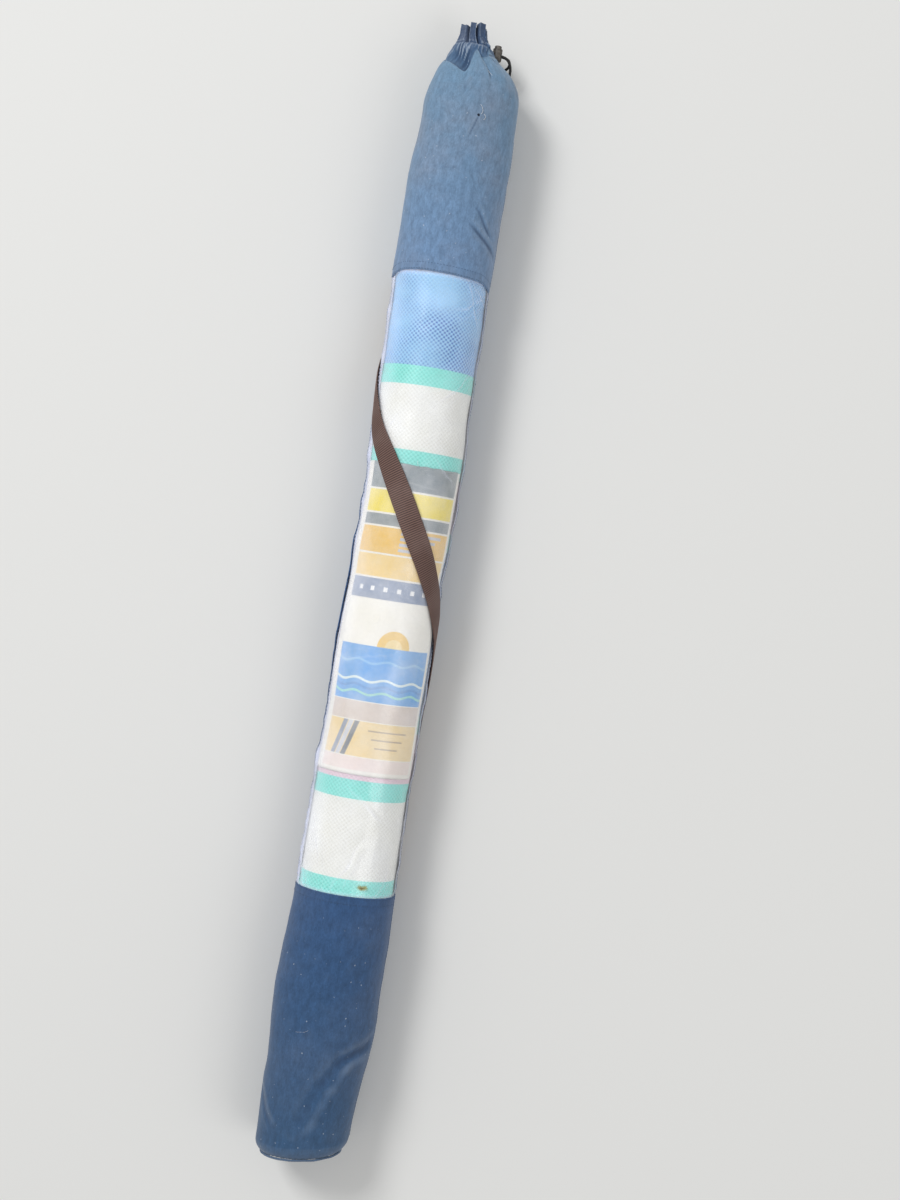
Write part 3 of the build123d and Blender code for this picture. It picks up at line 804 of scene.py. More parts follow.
def panel_place(distance, share):
    """A place on the back panel, whose turned edges lie flush over the film's."""
    angle = panel_angle(distance, share)
    signed = angle - 360 if angle > 180 else angle
    on_film = math.copysign(min(abs(signed), window_reach), signed)
    radius = bag_surface(distance, angle) - 0.4
    near_film = math.exp(-max(abs(signed) - window_reach - 0.5, 0.0) / 8)
    radius += near_film * (film_surface(distance, on_film) - radius)
    if signed < 0:
        to_edge = panel_angle(distance, 1) - angle
        radius += 2.4 * ride_up(distance) * math.exp(-to_edge / 16)
    return spot(distance, angle, radius, floor=0.1)


def panel_cut(distance, share):
    """The same place on the flat panel."""
    return wound_cut(distance, panel_angle(distance, share))


panel_rows = steps(window_from - 1, window_to + 1, 3.0)
panel_grid = lay_grid(panel_rows, steps(0, 1, 1 / 92), panel_place, panel_cut)
back_panel = make_piece("canvas_back_panel", [panel_grid], fabric, canvas)
attach(back_panel, "bag_fabric", "back_panel")


# Hems: the ends of the two sleeves, turned in once, which hold the ends of the window.
# They are bands of the same canvas, and lie inside against the sleeve.
def hem_place(distance, angle):
    """A place on a hem, just inside the sleeve."""
    radius = min(bag_surface(distance, angle) - fabric - 0.1, film_radius - film_sheet - waist(distance))
    return spot(distance, angle, radius, floor=fabric + 0.1)


for node in ("upper_hem", "lower_hem"):
    hem_low, hem_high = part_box(node)
    hem_rows = steps(tip_y - hem_high.y / mm, tip_y - hem_low.y / mm, 2.5)
    hem_grid = lay_grid(hem_rows, steps(-180, 180, 3), hem_place, wound_cut, closed=True)
    attach(make_piece("canvas_" + node, [hem_grid], fabric, canvas), "bag_fabric", node)


# Lower sleeve: a tube of the same canvas round the foot of the poles, drawn in at the base disc.
# The canvas is slack near the end, where the poles have pushed it into one long fold.
base_crown = 8.0
corner_radius = 16.0
corner_turn = 60.0
# The corner turns by this many degrees for each millimetre of cloth.
corner_pace = 4.0
corner_from = bag_length - base_crown - corner_radius * math.sin(math.radians(corner_turn))


def lower_place(row, angle):
    """A place on the lower sleeve: down the tube, and then round its corner, some degrees for each row."""
    turn = math.radians(min(max(row - corner_from, 0.0) * corner_pace, corner_turn))
    distance = min(row, corner_from) + corner_radius * math.sin(turn)
    stand = bag_surface(min(row, corner_from), angle) - bag_radius
    pucker = 0.35 * math.sin(math.radians(angle * 41)) * smooth_step(35, 60, math.degrees(turn))
    radius = bag_radius - corner_radius * (1 - math.cos(turn)) + stand + pucker
    return spot(distance, angle, radius)


tube_rows = steps(window_to, corner_from, 2.3)
corner_rows = steps(corner_from + 1, corner_from + corner_turn / corner_pace, 1.4)
lower_grid = lay_grid(tube_rows + corner_rows, steps(-180, 180, 1.8), lower_place, wound_cut, closed=True)
lower_sleeve = make_piece("canvas_lower_sleeve", [lower_grid], fabric, canvas)
attach(lower_sleeve, "bag_fabric", "lower_sleeve")


# Base disc: one round of canvas, sewn to the sleeve with the seam turned out as a narrow rim.
# The poles push it out into a shallow crown.
rim_distance = bag_length - base_crown
rim_radius = 43.2


def disc_place(radius, angle):
    """A place on the base disc, by its radius."""
    share = radius / rim_radius
    pushed = 0.9 * round_rough(radius, angle, 16, 61.0) * (1 - share)
    pushed += 0.5 * round_rough(radius, angle, 30, 62.0)
    return spot(bag_length - base_crown * share**2 - fabric + pushed, angle, radius)


def disc_cut(radius, angle):
    """The same place on the flat disc."""
    turn = math.radians(angle)
    return (radius * math.sin(turn), bag_length + radius * math.cos(turn))


disc_rows = steps(rim_radius + 0.6, 0.4, 2.2)
disc_grid = lay_grid(disc_rows, steps(-180, 180, 4), disc_place, disc_cut, closed=True)
base_disc = make_piece("canvas_base_disc", [disc_grid], fabric, canvas)
attach(base_disc, "bag_fabric", "base_disc")


def bead_place(turn, angle):
    """A place on the rim: the two raw edges, rolled together and oversewn."""
    roll = math.radians(turn)
    thick = 1.2 + 0.2 * math.sin(math.radians(angle * 83)) + 0.2 * round_rough(turn, angle, 9, 63.0)
    distance = rim_distance + 1.1 + 0.5 * round_rough(0.0, angle, 14, 64.0)
    return spot(distance + thick * math.cos(roll), angle, rim_radius + 0.3 + thick * math.sin(roll))


def bead_cut(turn, angle):
    """The same place on the flat cut of the rim."""
    return (rim_radius * math.radians(angle), rim_distance + turn / 50)


bead_grid = lay_grid(steps(360, 0, 45), steps(-180, 180, 1.5), bead_place, bead_cut, closed=True)
base_seam = make_piece("rolled_base_seam", [bead_grid], 0, canvas)
attach(base_seam, "bag_fabric", "base_seam")


# Upper sleeve: a tube of canvas that the drawcord gathers in to the neck.
# The stiff canvas rides up in broad tongues between deep pockets, and then dives in under the cord.
shoulder_from = 172.0
# The radius at which the canvas dives in over the ring of cord.
over_ring = 22.4
# The shoulder's radius by distance from the tip, and the distance of its lip by angle.
shoulder_profile = [
    (22, 20.4), (26, 21.4), (32, 23.6), (38, 28.2), (44, 33.0), (50, 38.4), (57, 43.4), (64, 46.6),
    (72, 49.4), (82, 51.3), (92, 52.4), (102, 52.6), (117, 52.9), (132, 53.3), (152, 54.0), (172, 54.2),
    (200, 54.3),
]
lip_line = [
    (-200, 42), (-180, 33), (-163, 30), (-146, 41), (-127, 30), (-109, 38), (-95, 42), (-78, 47),
    (-60, 48.5), (-50, 50), (-40, 53), (-31, 56.5), (-23, 60.5), (-15, 62.8), (-10.5, 58), (-6, 50),
    (2, 40), (9, 34.3), (14, 35), (18, 39.5), (24, 40.6), (34, 39), (42, 36), (48, 30), (53, 24.5),
    (58, 29), (65, 34), (85, 35), (106, 29), (124, 38), (142, 28), (161, 42), (180, 33), (200, 30),
]


def lip(angle):
    """Where the shoulder folds over at this angle: its distance, and how deep the pocket under it is."""
    distance = curve_through(lip_line, angle)
    return distance, smooth_step(33, 60, distance)


def overlap(distance, angle, start, end, height):
    """A change of radius where the canvas laps over itself: up on one side of a line, down on the other."""
    share, beside = by_line(distance, angle, start, end)
    fade = smooth_step(-0.4, 0.1, share) * (1 - smooth_step(0.6, 1.25, share))
    return height * fade * math.tanh(beside / 1.1) * math.exp(-abs(beside) / 10.0)


shoulder_creases = [
    ((63, -13), (86, -9), 0.8, 4.0),
    ((36, 36), (35, 66), 1.1, 1.3),
    ((40, -46), (60, -20), -0.5, 1.8),
    ((64, 20), (100, 27), 0.9, 5.5),
    ((110, 12), (131, 5), 0.5, 1.5),
    ((40, 84), (74, 70), 1.2, 3.5),
    ((42, 150), (74, 150), 2.0, 4.0),
    ((42, -150), (72, -140), 2.0, 4.0),
    ((38, -108), (62, -104), 1.4, 3.0),
    ((40, 122), (66, 118), 1.4, 3.0),
]
shoulder_overlaps = [
    ((36, 15.5), (66, 20), 3.0),
    ((42, 44), (60, 49), 1.3),
    ((36, 68), (62, 66), 1.5),
    ((40, -72), (64, -66), -1.0),
]


def shoulder_radius(distance, angle):
    """The outside radius of the upper sleeve, from the lip of its folds to the window."""
    if distance < shoulder_from:
        lip_at, pocket = lip(angle)
        ease = smooth_step(34, 120, distance)
        radius = curve_through(shoulder_profile, distance)
        radius += ease * (bag_surface(distance, angle) - bag_radius)
        radius += (1 - ease) * 0.9 * round_rough(distance, angle, 16, 71.0)
        radius += 1.6 * (hill(angle, 4, 7) - hill(angle, 22, 6)) * hill(distance, 40, 16)
        radius -= 1.5 * pocket * math.exp(-max(distance - lip_at, 0) / 7)
        radius += sum(overlap(distance, angle, *each) for each in shoulder_overlaps)
    else:
        radius = bag_surface(distance, angle)
    return radius + all_creases(shoulder_creases, distance, angle)


# The lobes of the ruffle: where each starts and ends, in degrees, and how far its top is from the tip.
ruffle_lobes = [
    (-84, -22, 4.6), (-20, 16, 1.6), (20, 69, 0.0), (72, 103, 5.5), (107, 140, 1.5), (143, 176, 4.0),
    (180, 214, 2.0), (217, 250, 3.5), (253, 273, 1.5),
]
ruffle_outer = [
    (-5, 14.0), (0, 14.2), (8, 14.6), (14, 15.4), (19, 17.2), (22.5, 19.0), (26, 17.2), (31, 15.0), (36, 14),
]
ruffle_inner = [
    (-5, 8.0), (0, 8.2), (8, 8.0), (14, 9.0), (19, 11.6), (23, 14.4), (26, 15.0), (31, 13.6), (36, 13),
]
ruffle_start = -84
ruffle_to = 31.0


def ruffle_shape(distance, angle):
    """The ruffle's radius at this place, and how far its top edge is from the tip."""
    turned = (angle - ruffle_start + 3 * math.sin(distance / 7)) % 360 + ruffle_start
    outer, inner = curve_through(ruffle_outer, distance), curve_through(ruffle_inner, distance)
    gathers = 0.8 * hill(distance, 23, 6) * rough(angle / 6, distance / 9, 77.0)
    for left, right, top in ruffle_lobes:
        if left <= turned <= right:
            share = (turned - left) / (right - left)
            lobe = smooth_step(0, 0.2, share) * (1 - smooth_step(0.8, 1, share))
            facet = 1.1 * hill(share, 0.16, 0.1) + 1.1 * hill(share, 0.84, 0.1) - 0.5
            return inner + (outer - inner + facet) * lobe + gathers, top + 1.6 * (1 - lobe)
    return inner + gathers, 5.0


def neck_fold(angle, share):
    """The inner part of a fold, from the ruffle (0) out to the lip (1): its distance and radius."""
    lip_at, pocket = lip(angle)
    lip_radius = shoulder_radius(lip_at, angle)
    slope = smooth_step(40, 76, abs(angle))
    climb = lip_radius - over_ring
    over_cord = min(29.5, lip_at - 1.0)
    left = lip_at - over_cord
    inside = min(24.5, over_cord - 2.6)
    route = [
        (inside - 1.5, ruffle_shape(inside - 1.5, angle)[0] + 0.3),
        (inside, ruffle_shape(inside, angle)[0] + 1.2),
        (min(26.4, over_cord - 1.6), 21.4),
        (over_cord, over_ring),
        (over_cord + 0.42 * left, over_ring + (0.05 + 0.33 * slope) * climb),
        (over_cord + 0.76 * left, over_ring + (0.34 + 0.38 * slope) * climb - 1.6 * pocket),
        (lip_at + 1.8 * pocket, lip_radius - (1.2 + 4.2 * pocket) * (1 - 0.6 * slope)),
        (lip_at, lip_radius),
    ]
    place = share * (len(route) - 1)
    index = min(int(place), len(route) - 2)
    part = place - index
    before, start, end, after = four_about(route, index)
    found = []
    for axis in (0, 1):
        rise_in, rise_out = (end[axis] - before[axis]) / 2, (after[axis] - start[axis]) / 2
        found.append(smooth_between(start[axis], end[axis], rise_in, rise_out, part))
    crumple = (1.0 + 0.8 * pocket) * math.sin(math.pi * min(share * 1.1, 1.0)) ** 2
    crumple *= 0.75 + 0.9 * rough(angle / 26, share, 79.0)
    slant = angle + 0.7 * found[0]
    sharp = 1 - 2.6 * abs(rough(slant / 12, found[0] / 34, 74.0))
    found[1] += crumple * (0.6 * rough(slant / 6, found[0] / 20, 73.0) + 1.8 * max(sharp, 0.0) - 0.6)
    found[0] += 0.8 * crumple * rough(angle / 5, share * 2, 78.0)
    return found


def edge_drift(distance, angle):
    """How far the canvas near the sleeve's edge runs down over the corners of the window, in millimetres."""
    drop = 6.0 * smooth_step(48, 88, abs(angle)) + 0.8 * smooth_step(10, 50, angle)
    drop -= 1.2 * hill(angle, -25, 28)
    return drop * smooth_step(window_from - 45, window_from, distance)


def upper_place(row, angle):
    """A place on the upper sleeve: rows below 0 are in the folds, and those up to 1 on the shoulder."""
    if row < 0:
        distance, radius = neck_fold(angle, row + 1)
    else:
        lip_at = lip(angle)[0]
        distance = lip_at + (shoulder_from - lip_at) * row**1.35 if row <= 1 else row
        radius = shoulder_radius(distance, angle)
        distance += edge_drift(distance, angle)
    return spot(distance, angle, radius)


def upper_cut(row, angle):
    """The same place on the flat cut, where the lip is at 14 mm and the cloth in the folds goes on 40 mm."""
    if row > 1:
        return wound_cut(row, angle)
    return wound_cut(14 + ((shoulder_from - 14) if row > 0 else 40) * row, angle)


upper_rows = steps(-1, 0, 1 / 26)[:-1] + steps(0, 1, 1 / 58) + steps(shoulder_from + 2.2, window_from, 2.2)
upper_grid = lay_grid(upper_rows, steps(-180, 180, 1.2), upper_place, upper_cut, closed=True)
upper_sleeve = make_piece("canvas_upper_sleeve", [upper_grid], fabric, canvas)
attach(upper_sleeve, "bag_fabric", "upper_sleeve")


# Ruffle: the end of the same canvas, beyond the drawcord, which stands up in stiff round lobes.
# Its edge is turned in and stitched, so it is nearly two layers thick.
ruffle_thickness = 1.5


def ruffle_place(row, angle):
    """A place on the ruffle, from its top edge (0) to where it goes in under the cord (1)."""
    top = ruffle_shape(0.0, angle)[1]
    distance = top + (ruffle_to - top) * row
    radius = ruffle_shape(distance, angle)[0] + 0.35 * rough(angle / 11, distance / 6, 75.0)
    radius += 0.6 * hill(distance, 19, 7) * rough(angle / 5, distance / 3, 76.0)
    return spot(distance, angle, radius)


def ruffle_cut(row, angle):
    """The same place on the flat cut, beyond the cloth that is in the folds."""
    return wound_cut(ruffle_to * (row - 2), angle)


ruffle_columns = steps(-180, 180, 1.0)
ruffle_grid = lay_grid(steps(0, 1, 1 / 34), ruffle_columns, ruffle_place, ruffle_cut, closed=True)
neck_ruffle = make_piece("canvas_neck_ruffle", [ruffle_grid], ruffle_thickness, canvas)
attach(neck_ruffle, "bag_fabric", "neck_ruffle")


# Sleeve seams: each tube is closed with a felled seam, two folded edges of the canvas sewn down flat.
# The seams run on in line with the window's edge.
sleeve_seam_angle = 98.0
sleeve_seam_half = 4.3
felled_sheet = 0.6


def on_sleeve(distance, angle, lift):
    """A place this much above the outside of a sleeve, with the drift of the upper one's edge."""
    if distance > window_from:
        return spot(distance, angle, bag_surface(distance, angle) + lift)
    return spot(distance + edge_drift(distance, angle), angle, shoulder_radius(distance, angle) + lift)


def felled_place(distance, angle):
    """A place on a felled seam, which stands up from the canvas by its two folded layers."""
    side = abs(angle - sleeve_seam_angle) / sleeve_seam_half
    return on_sleeve(distance, angle, 0.75 * (1 - side**6) + 0.12 * rough(distance / 5, side, 81.0))


seam_columns = [sleeve_seam_angle + sleeve_seam_half * share for share in (-1, -0.9, -0.6, 0, 0.6, 0.9, 1)]
seam_runs = (("upper_sleeve_seam", 120.0, window_from), ("lower_sleeve_seam", window_to, corner_from))
for node, start, end in seam_runs:
    seam_grid = lay_grid(steps(start, end, 2.2), seam_columns, felled_place, wound_cut)
    attach(make_piece("felled_" + node, [seam_grid], felled_sheet, canvas), "bag_fabric", node)


# Drawcord: braided black polyester. It runs round the neck inside the folds, and comes out on the right.
# Its two ends go through the lock and on in one loop, which is tucked in under the shoulder.
def braided_polyester():
    """Braided polyester cord: dull black, with the small steep hills of its braid, and painted shade between
    them.
    """
    material, tree = new_finish("braided_polyester")
    place = add(tree, "TexCoord", {}, {}).outputs["Object"]
    braid = add(tree, "TexVoronoi", {}, {"Vector": place, "Scale": per(1.05), "Randomness": 0.5})
    # Painted shade: darker away from the middle of each braid hill.
    tone = add(tree, "ValToRGB", {"stops": [(0.1, "#3a3835"), (0.7, "#1c1b1b")]}, {"Fac": braid})
    relief = add(tree, "Bump", {"invert": True}, {"Height": braid, "Strength": 0.6, "Distance": 0.5 * mm})
    cord = add(tree, "BsdfPrincipled", {}, {"Base Color": tone, "Roughness": 0.7, "Normal": relief})
    add(tree, "OutputMaterial", {}, {"Surface": cord})
    return material


cord_finish = braided_polyester()
give(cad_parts["drawcord_ring"], cord_finish)
cord_diameter = 3.0
neck_at = tip_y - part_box("neck_ruffle")[0].y / mm
loop_route = [
    (17.2, 3.0, 38.7), (34.5, 3.0, 38.7), (42.5, -3.0, 34.5), (44.5, -12.5, 26.0), (41.0, -23.0, 15.5),
    (32.5, -33.0, 6.5), (20.5, -39.0, 2.0), (7.5, -37.0, 1.9), (-1.0, -27.0, 1.9), (1.5, -14.5, 2.4),
    (12.0, -8.5, 6.0), (25.0, -9.5, 11.5), (37.5, -9.0, 18.5), (43.5, -2.5, 26.5), (37.5, 3.0, 35.3),
    (17.2, 3.0, 35.3),
]
cord_curve = bpy.data.curves.new("drawcord_loop_line", "CURVE")
cord_curve.dimensions = "3D"
cord_curve.bevel_depth = cord_diameter / 2 * mm
cord_curve.bevel_resolution = 4
cord_curve.resolution_u = 16
cord_curve.use_fill_caps = True
line = cord_curve.splines.new("NURBS")
line.points.add(len(loop_route) - 1)
for point, (x, y, z) in zip(line.points, loop_route):
    point.co = (x * mm, (tip_y - neck_at + y) * mm, z * mm, 1.0)
line.order_u = 3
line.use_endpoint_u = True
drawcord = bpy.data.objects.new("braided_drawcord", cord_curve)
bpy.context.scene.collection.objects.link(drawcord)
give(drawcord, cord_finish)
attach(drawcord, "black_cord", "drawcord_loop")


# Cord lock: a moulded ABS barrel with a sprung push button, which grips the two strands that pass
# through it. Both parts stay as the frame holds them.
def moulded_abs():
    """Moulded ABS: dark taupe, with the fine spark texture of its mould, gone dull outdoors."""
    material, tree = new_finish("moulded_abs")
    place = add(tree, "TexCoord", {}, {}).outputs["Object"]
    spark = add(tree, "TexNoise", {}, {"Vector": place, "Scale": per(0.385), "Detail": 2.0})
    dust = add(tree, "TexNoise", {}, {"Vector": place, "Scale": per(4.17), "Detail": 4.0})
    tone = add(tree, "ValToRGB", {"stops": [(0.4, "#4b4641"), (0.75, "#7a746c")]}, {"Fac": dust})
    relief = add(tree, "Bump", {}, {"Height": spark, "Strength": 0.3, "Distance": 0.1 * mm})
    look = {"Base Color": tone, "Roughness": 0.48, "IOR": 1.53, "Normal": relief}
    add(tree, "OutputMaterial", {}, {"Surface": add(tree, "BsdfPrincipled", {}, look)})
    return material


lock_finish = moulded_abs()
for node in ("cord_lock_body", "cord_lock_button"):
    give(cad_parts[node], lock_finish)


# Carry strap: 25 mm polypropylene webbing, sewn to the back by its upper end, wound once over the
# window, and sewn down again on the other side.
def ribbed_webbing():
    """Polypropylene webbing: brown and a little dusty, with firm ribs across it that are rubbed pale, and
    painted shade between them.
    """
    material, tree = new_finish("ribbed_webbing")
    flat = add(tree, "UVMap", {"uv_map": "cut"}, {})
    way = add(tree, "SeparateXYZ", {}, {"Vector": flat})
    turn = add(tree, "Math", {"operation": "MULTIPLY"}, {0: way.outputs["Y"], 1: math.tau * per(rib_pitch)})
    rib = add(tree, "Math", {"operation": "COSINE"}, {0: turn})
    tone = add(tree, "MapRange", {}, {"Value": rib, "From": (-1.0, 1.0)})
    # Paler on the rib crests, where they are rubbed, with painted shade in the grooves between the ribs.
    rib_wear_and_shade = [(0.1, "#3a2a27"), (0.55, "#634943"), (1.0, "#836459")]
    colour = add(tree, "ValToRGB", {"stops": rib_wear_and_shade}, {"Fac": tone})
    yarn = add(tree, "Mapping", {}, {"Vector": flat, "Scale": (per(0.909), per(2.63), 1.0)})
    twist = add(tree, "TexNoise", {}, {"Vector": yarn, "Scale": 1.0, "Detail": 2.0})
    grain = add(tree, "MapRange", {}, {"Value": twist, "From": (0.3, 0.7), "To": (0.84, 1.14)})
    colour = add(tree, "VectorMath", {"operation": "SCALE"}, {0: colour, "Scale": grain})
    patches = add(tree, "TexNoise", {}, {"Vector": flat, "Scale": per(41.7), "Detail": 4.0})
    dust = add(tree, "MapRange", {}, {"Value": patches, "From": (0.45, 0.8), "To Max": 0.3})
    colour = add(tree, "MixRGB", {}, {"Fac": dust, "Color1": colour, "Color2": "#96827b"})
    relief = add(tree, "Bump", {}, {"Height": twist, "Strength": 0.4, "Distance": 0.3 * mm})
    webbing = add(tree, "BsdfPrincipled", {}, {"Base Color": colour, "Roughness": 0.66, "Normal": relief})
    add(tree, "OutputMaterial", {}, {"Surface": webbing})
    return material


rib_pitch = 2.4
strap_width = 25.0
strap_thickness = 1.2
strap_from_window_end = 8.0
strap_end_length = 32.0
strap_angles = [
    -134, -130, -118, -94, -61, -30, -4.5, 18.5, 43, 68.5, 92, 107, 115, 120, 125, 129, 132.5, 134,
]
strap_from = window_from + strap_from_window_end
strap_to = window_to - strap_from_window_end
strap_stations = []
for index, angle in enumerate(strap_angles):
    distance = strap_from + (strap_to - strap_from) * index / (len(strap_angles) - 1)
    taut = math.degrees(lean(distance) / bag_radius) * (1 - smooth_step(55, 88, abs(angle)))
    strap_stations.append((distance, angle - taut))
rib_finish = ribbed_webbing()


def band_of_webbing(name, stations, lift):
    """Webbing along a line of (distance, angle) stations, lying on the bag this much above it."""
    start, end = stations[0][0], stations[-1][0]
    fine = [(distance, curve_through(stations, distance)) for distance in steps(start, end, 1.0)]
    run = [0.0]
    for (d0, a0), (d1, a1) in zip(fine, fine[1:]):
        run.append(run[-1] + math.hypot(d1 - d0, bag_radius * math.radians(a1 - a0)))
    half = strap_width / 2
    upper = (-1, -0.93, -0.8, -0.6, -0.4, -0.2, 0, 0.2, 0.4, 0.6, 0.8, 0.93, 1)
    lower = (1, 0.8, 0.4, 0, -0.4, -0.8, -1)
    section = [(share * half, 1.0) for share in upper] + [(share * half, 0.0) for share in lower]
    section.append(section[0])

    def place(length, index):
        """A place on the webbing: its length along it, and the number of the point round its section."""
        distance = float(np.interp(length, run, [station[0] for station in fine]))
        angle = curve_through(stations, distance)
        slope = bag_radius * math.radians(curve_through(stations, distance + 1) - angle)
        size = math.hypot(1.0, slope)
        offset, side = section[int(index)]
        here = distance - offset * slope / size
        there = angle + math.degrees(offset / size / bag_radius)
        edge = (abs(offset) / half) ** 4
        rib = 0.24 * math.cos(2 * math.pi * length / rib_pitch) * (1 - edge) * side
        lies = -0.7 * (1 - smooth_step(66, 92, abs(angle)))
        curl = 0.5 * edge * (0.6 + 0.5 * rough(length / 40, offset / 30, 91.0))
        ripple = 0.3 * rough(length / 60, offset / 18, 92.0)
        base = bag_radius + 0.35 - waist(distance) + lies + lift + curl + ripple
        thick = strap_thickness * (0.75 if abs(offset) > 0.99 * half else 1.0)
        return spot(here, there, base + thick * side + rib)

    def cut(length, index):
        """The same place on the flat webbing."""
        return (section[int(index)][0], length)

    lengths = steps(0, run[-1], rib_pitch / 4)
    columns = list(range(len(section) - 1, -1, -1))
    grid = lay_grid(lengths, columns, place, cut, closed=True)
    return make_piece(name, [grid], 0, rib_finish)


carry_strap = band_of_webbing("webbing_carry_strap", strap_stations, 0.0)
attach(carry_strap, "brown_webbing", "carry_strap")
strap_ends = (
    ("strap_end_upper", strap_from, strap_angles[0]),
    ("strap_end_lower", strap_to - strap_end_length, strap_angles[-1]),
)
for node, start, angle in strap_ends:
    stations = [(start + share * strap_end_length, angle) for share in (0, 0.5, 1)]
    attach(band_of_webbing("webbing_" + node, stations, strap_thickness + 0.3), "brown_webbing", node)


# Stitching: spun polyester thread. Pale thread holds the window in, navy thread the hems, seams and base,
# and brown thread the two ends of the strap. Its machine stitches are drawn a little longer than they are.
def spun_polyester_thread(name, colour):
    """Spun polyester thread: matt, with the slant of its twist as faint light and dark."""
    material, tree = new_finish(name)
    place = add(tree, "TexCoord", {}, {}).outputs["Object"]
    twist = add(tree, "TexNoise", {}, {"Vector": place, "Scale": per(0.667), "Detail": 1.0})
    shade = add(tree, "MapRange", {}, {"Value": twist, "From": (0.3, 0.7), "To": (0.8, 1.1)})
    tone = add(tree, "VectorMath", {"operation": "SCALE"}, {0: linear(colour)[:3], "Scale": shade})
    thread = add(tree, "BsdfPrincipled", {}, {"Base Color": tone, "Roughness": 0.75})
    add(tree, "OutputMaterial", {}, {"Surface": thread})
    return material


def lay_thread(name, strands, thick, material):
    """Lengths of thread, each a list of places in millimetres, as thin tubes of six sides with fine ends."""
    points, faces = [], []
    for strand in strands:
        line = [Vector(place) for place in strand]
        for index, here in enumerate(line):
            along = (line[min(index + 1, len(line) - 1)] - line[max(index - 1, 0)]).normalized()
            side = along.cross(Vector((0.3, 0.2, 1.0))).normalized()
            over = side.cross(along)
            radius = thick / 2 * (0.35 if index in (0, len(line) - 1) else 1.0)
            for turn in range(6):
                spin = math.radians(60 * turn)
                points.append(tuple((here + radius * (math.cos(spin) * side + math.sin(spin) * over)) * mm))
        first = len(points) - 6 * len(line)
        for index in range(len(line) - 1):
            for turn in range(6):
                low, high = first + 6 * index, first + 6 * index + 6
                faces.append((low + turn, high + turn, high + (turn + 1) % 6, low + (turn + 1) % 6))
        faces.append(tuple(first + turn for turn in range(6)))
        faces.append(tuple(len(points) - 1 - turn for turn in range(6)))
    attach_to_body(new_piece(name, points, faces, material), "root")


def stitches(path, pitch, share=0.62, dip=0.35):
    """Stitches along a path of places: short lengths that sink into the cloth at both ends."""
    run = [0.0]
    for here, there in zip(path, path[1:]):
        run.append(run[-1] + math.dist(here, there))
    rows = []
    for start in np.arange(0.3 * pitch, run[-1] - pitch, pitch):
        strand = []
        for part in (0.0, 0.25, 0.75, 1.0):
            where = start + part * share * pitch
            place = [float(np.interp(where, run, [point[axis] for point in path])) for axis in range(3)]
            strand.append(sink(place, dip if part in (0.0, 1.0) else 0.0))
        rows.append(strand)
    return rows


def sink(place, depth):
    """The same place, this much nearer to the bag's middle line."""
    off = Vector((place[0] - lean(tip_y - place[1]), 0.0, place[2] - axis_height))
    return tuple(Vector(place) - depth * off.normalized())


pale_thread = spun_polyester_thread("pale_polyester_thread", "#c9cede")
navy_thread = spun_polyester_thread("navy_polyester_thread", "#3a5272")
brown_thread = spun_polyester_thread("brown_polyester_thread", "#5a423c")
window_pitch = 4.2
canvas_pitch = 3.4
pale_thick = 0.5
navy_thick = 0.42
window_rows = []
for angle in (-84, 84):
    distances = steps(window_from + 4, window_to - 4, 1.5)
    path = [spot(distance, angle, film_surface(distance, angle) + 0.1) for distance in distances]
    window_rows += stitches(path, window_pitch)
lay_thread("window_stitches", window_rows, pale_thick, pale_thread)
navy_rows = []
for distance in (window_from - 8.6, window_from - 1.6, window_to + 1.6, window_to + 8.6):
    path = [on_sleeve(distance, angle, 0.12) for angle in steps(-180, 180, 1.5)]
    navy_rows += stitches(path, canvas_pitch)
for start, end in ((122.0, window_from - 3), (window_to + 3, corner_from - 2)):
    for angle in (sleeve_seam_angle - 3.2, sleeve_seam_angle + 3.2):
        path = [felled_place(distance, angle) for distance in steps(start, end, 2)]
        navy_rows += stitches(path, canvas_pitch)
for share in (0.012, 0.988):
    path = [panel_place(distance, share) for distance in steps(window_from + 4, window_to - 4, 2)]
    navy_rows += stitches([sink(place, -0.15) for place in path], canvas_pitch)
lay_thread("canvas_stitches", navy_rows, navy_thick, navy_thread)
base_rows = []
for angle in steps(-178, 178, 4):
    strand = [bead_place(turn, angle + 1.4 * (turn - 180) / 90) for turn in (-40, 10, 60, 110)]
    base_rows.append([sink(place, -0.12) for place in strand])
lay_thread("base_seam_stitches", base_rows, 0.5, navy_thread)
ruffle_path = [sink(ruffle_place(0.17, angle), -0.2) for angle in steps(-180, 180, 1.5)]
lay_thread("ruffle_stitches", stitches(ruffle_path, 3.0), navy_thick, navy_thread)
brown_rows = []
half = math.degrees((strap_width / 2 - 3.0) / bag_radius)
over_strap = bag_radius + 2 * strap_thickness + 0.95
for node, start, angle in strap_ends:
    here, there = start + 4.0, start + strap_end_length - 4.0
    near = [(here, angle - half), (there, angle - half), (there, angle + half), (here, angle + half)]
    box_and_cross = near + [near[0], near[2], near[3], near[1]]
    for (d0, a0), (d1, a1) in zip(box_and_cross, box_and_cross[1:]):
        path = []
        for part in steps(0, 1, 0.05):
            distance = d0 + part * (d1 - d0)
            path.append(spot(distance, a0 + part * (a1 - a0), over_strap - waist(distance)))
        brown_rows += stitches(path, 3.0, dip=0.5)
lay_thread("strap_stitches", brown_rows, 0.5, brown_thread)


# Wear: what years of use have left. Loose ends of white thread lie on the shoulder and by the card,
# a faint one near the base, and a small hole is worn in the canvas of the shoulder, its dark inside drawn as
# painted shade.
wear_random = random.Random(7)
thread_step = 0.8


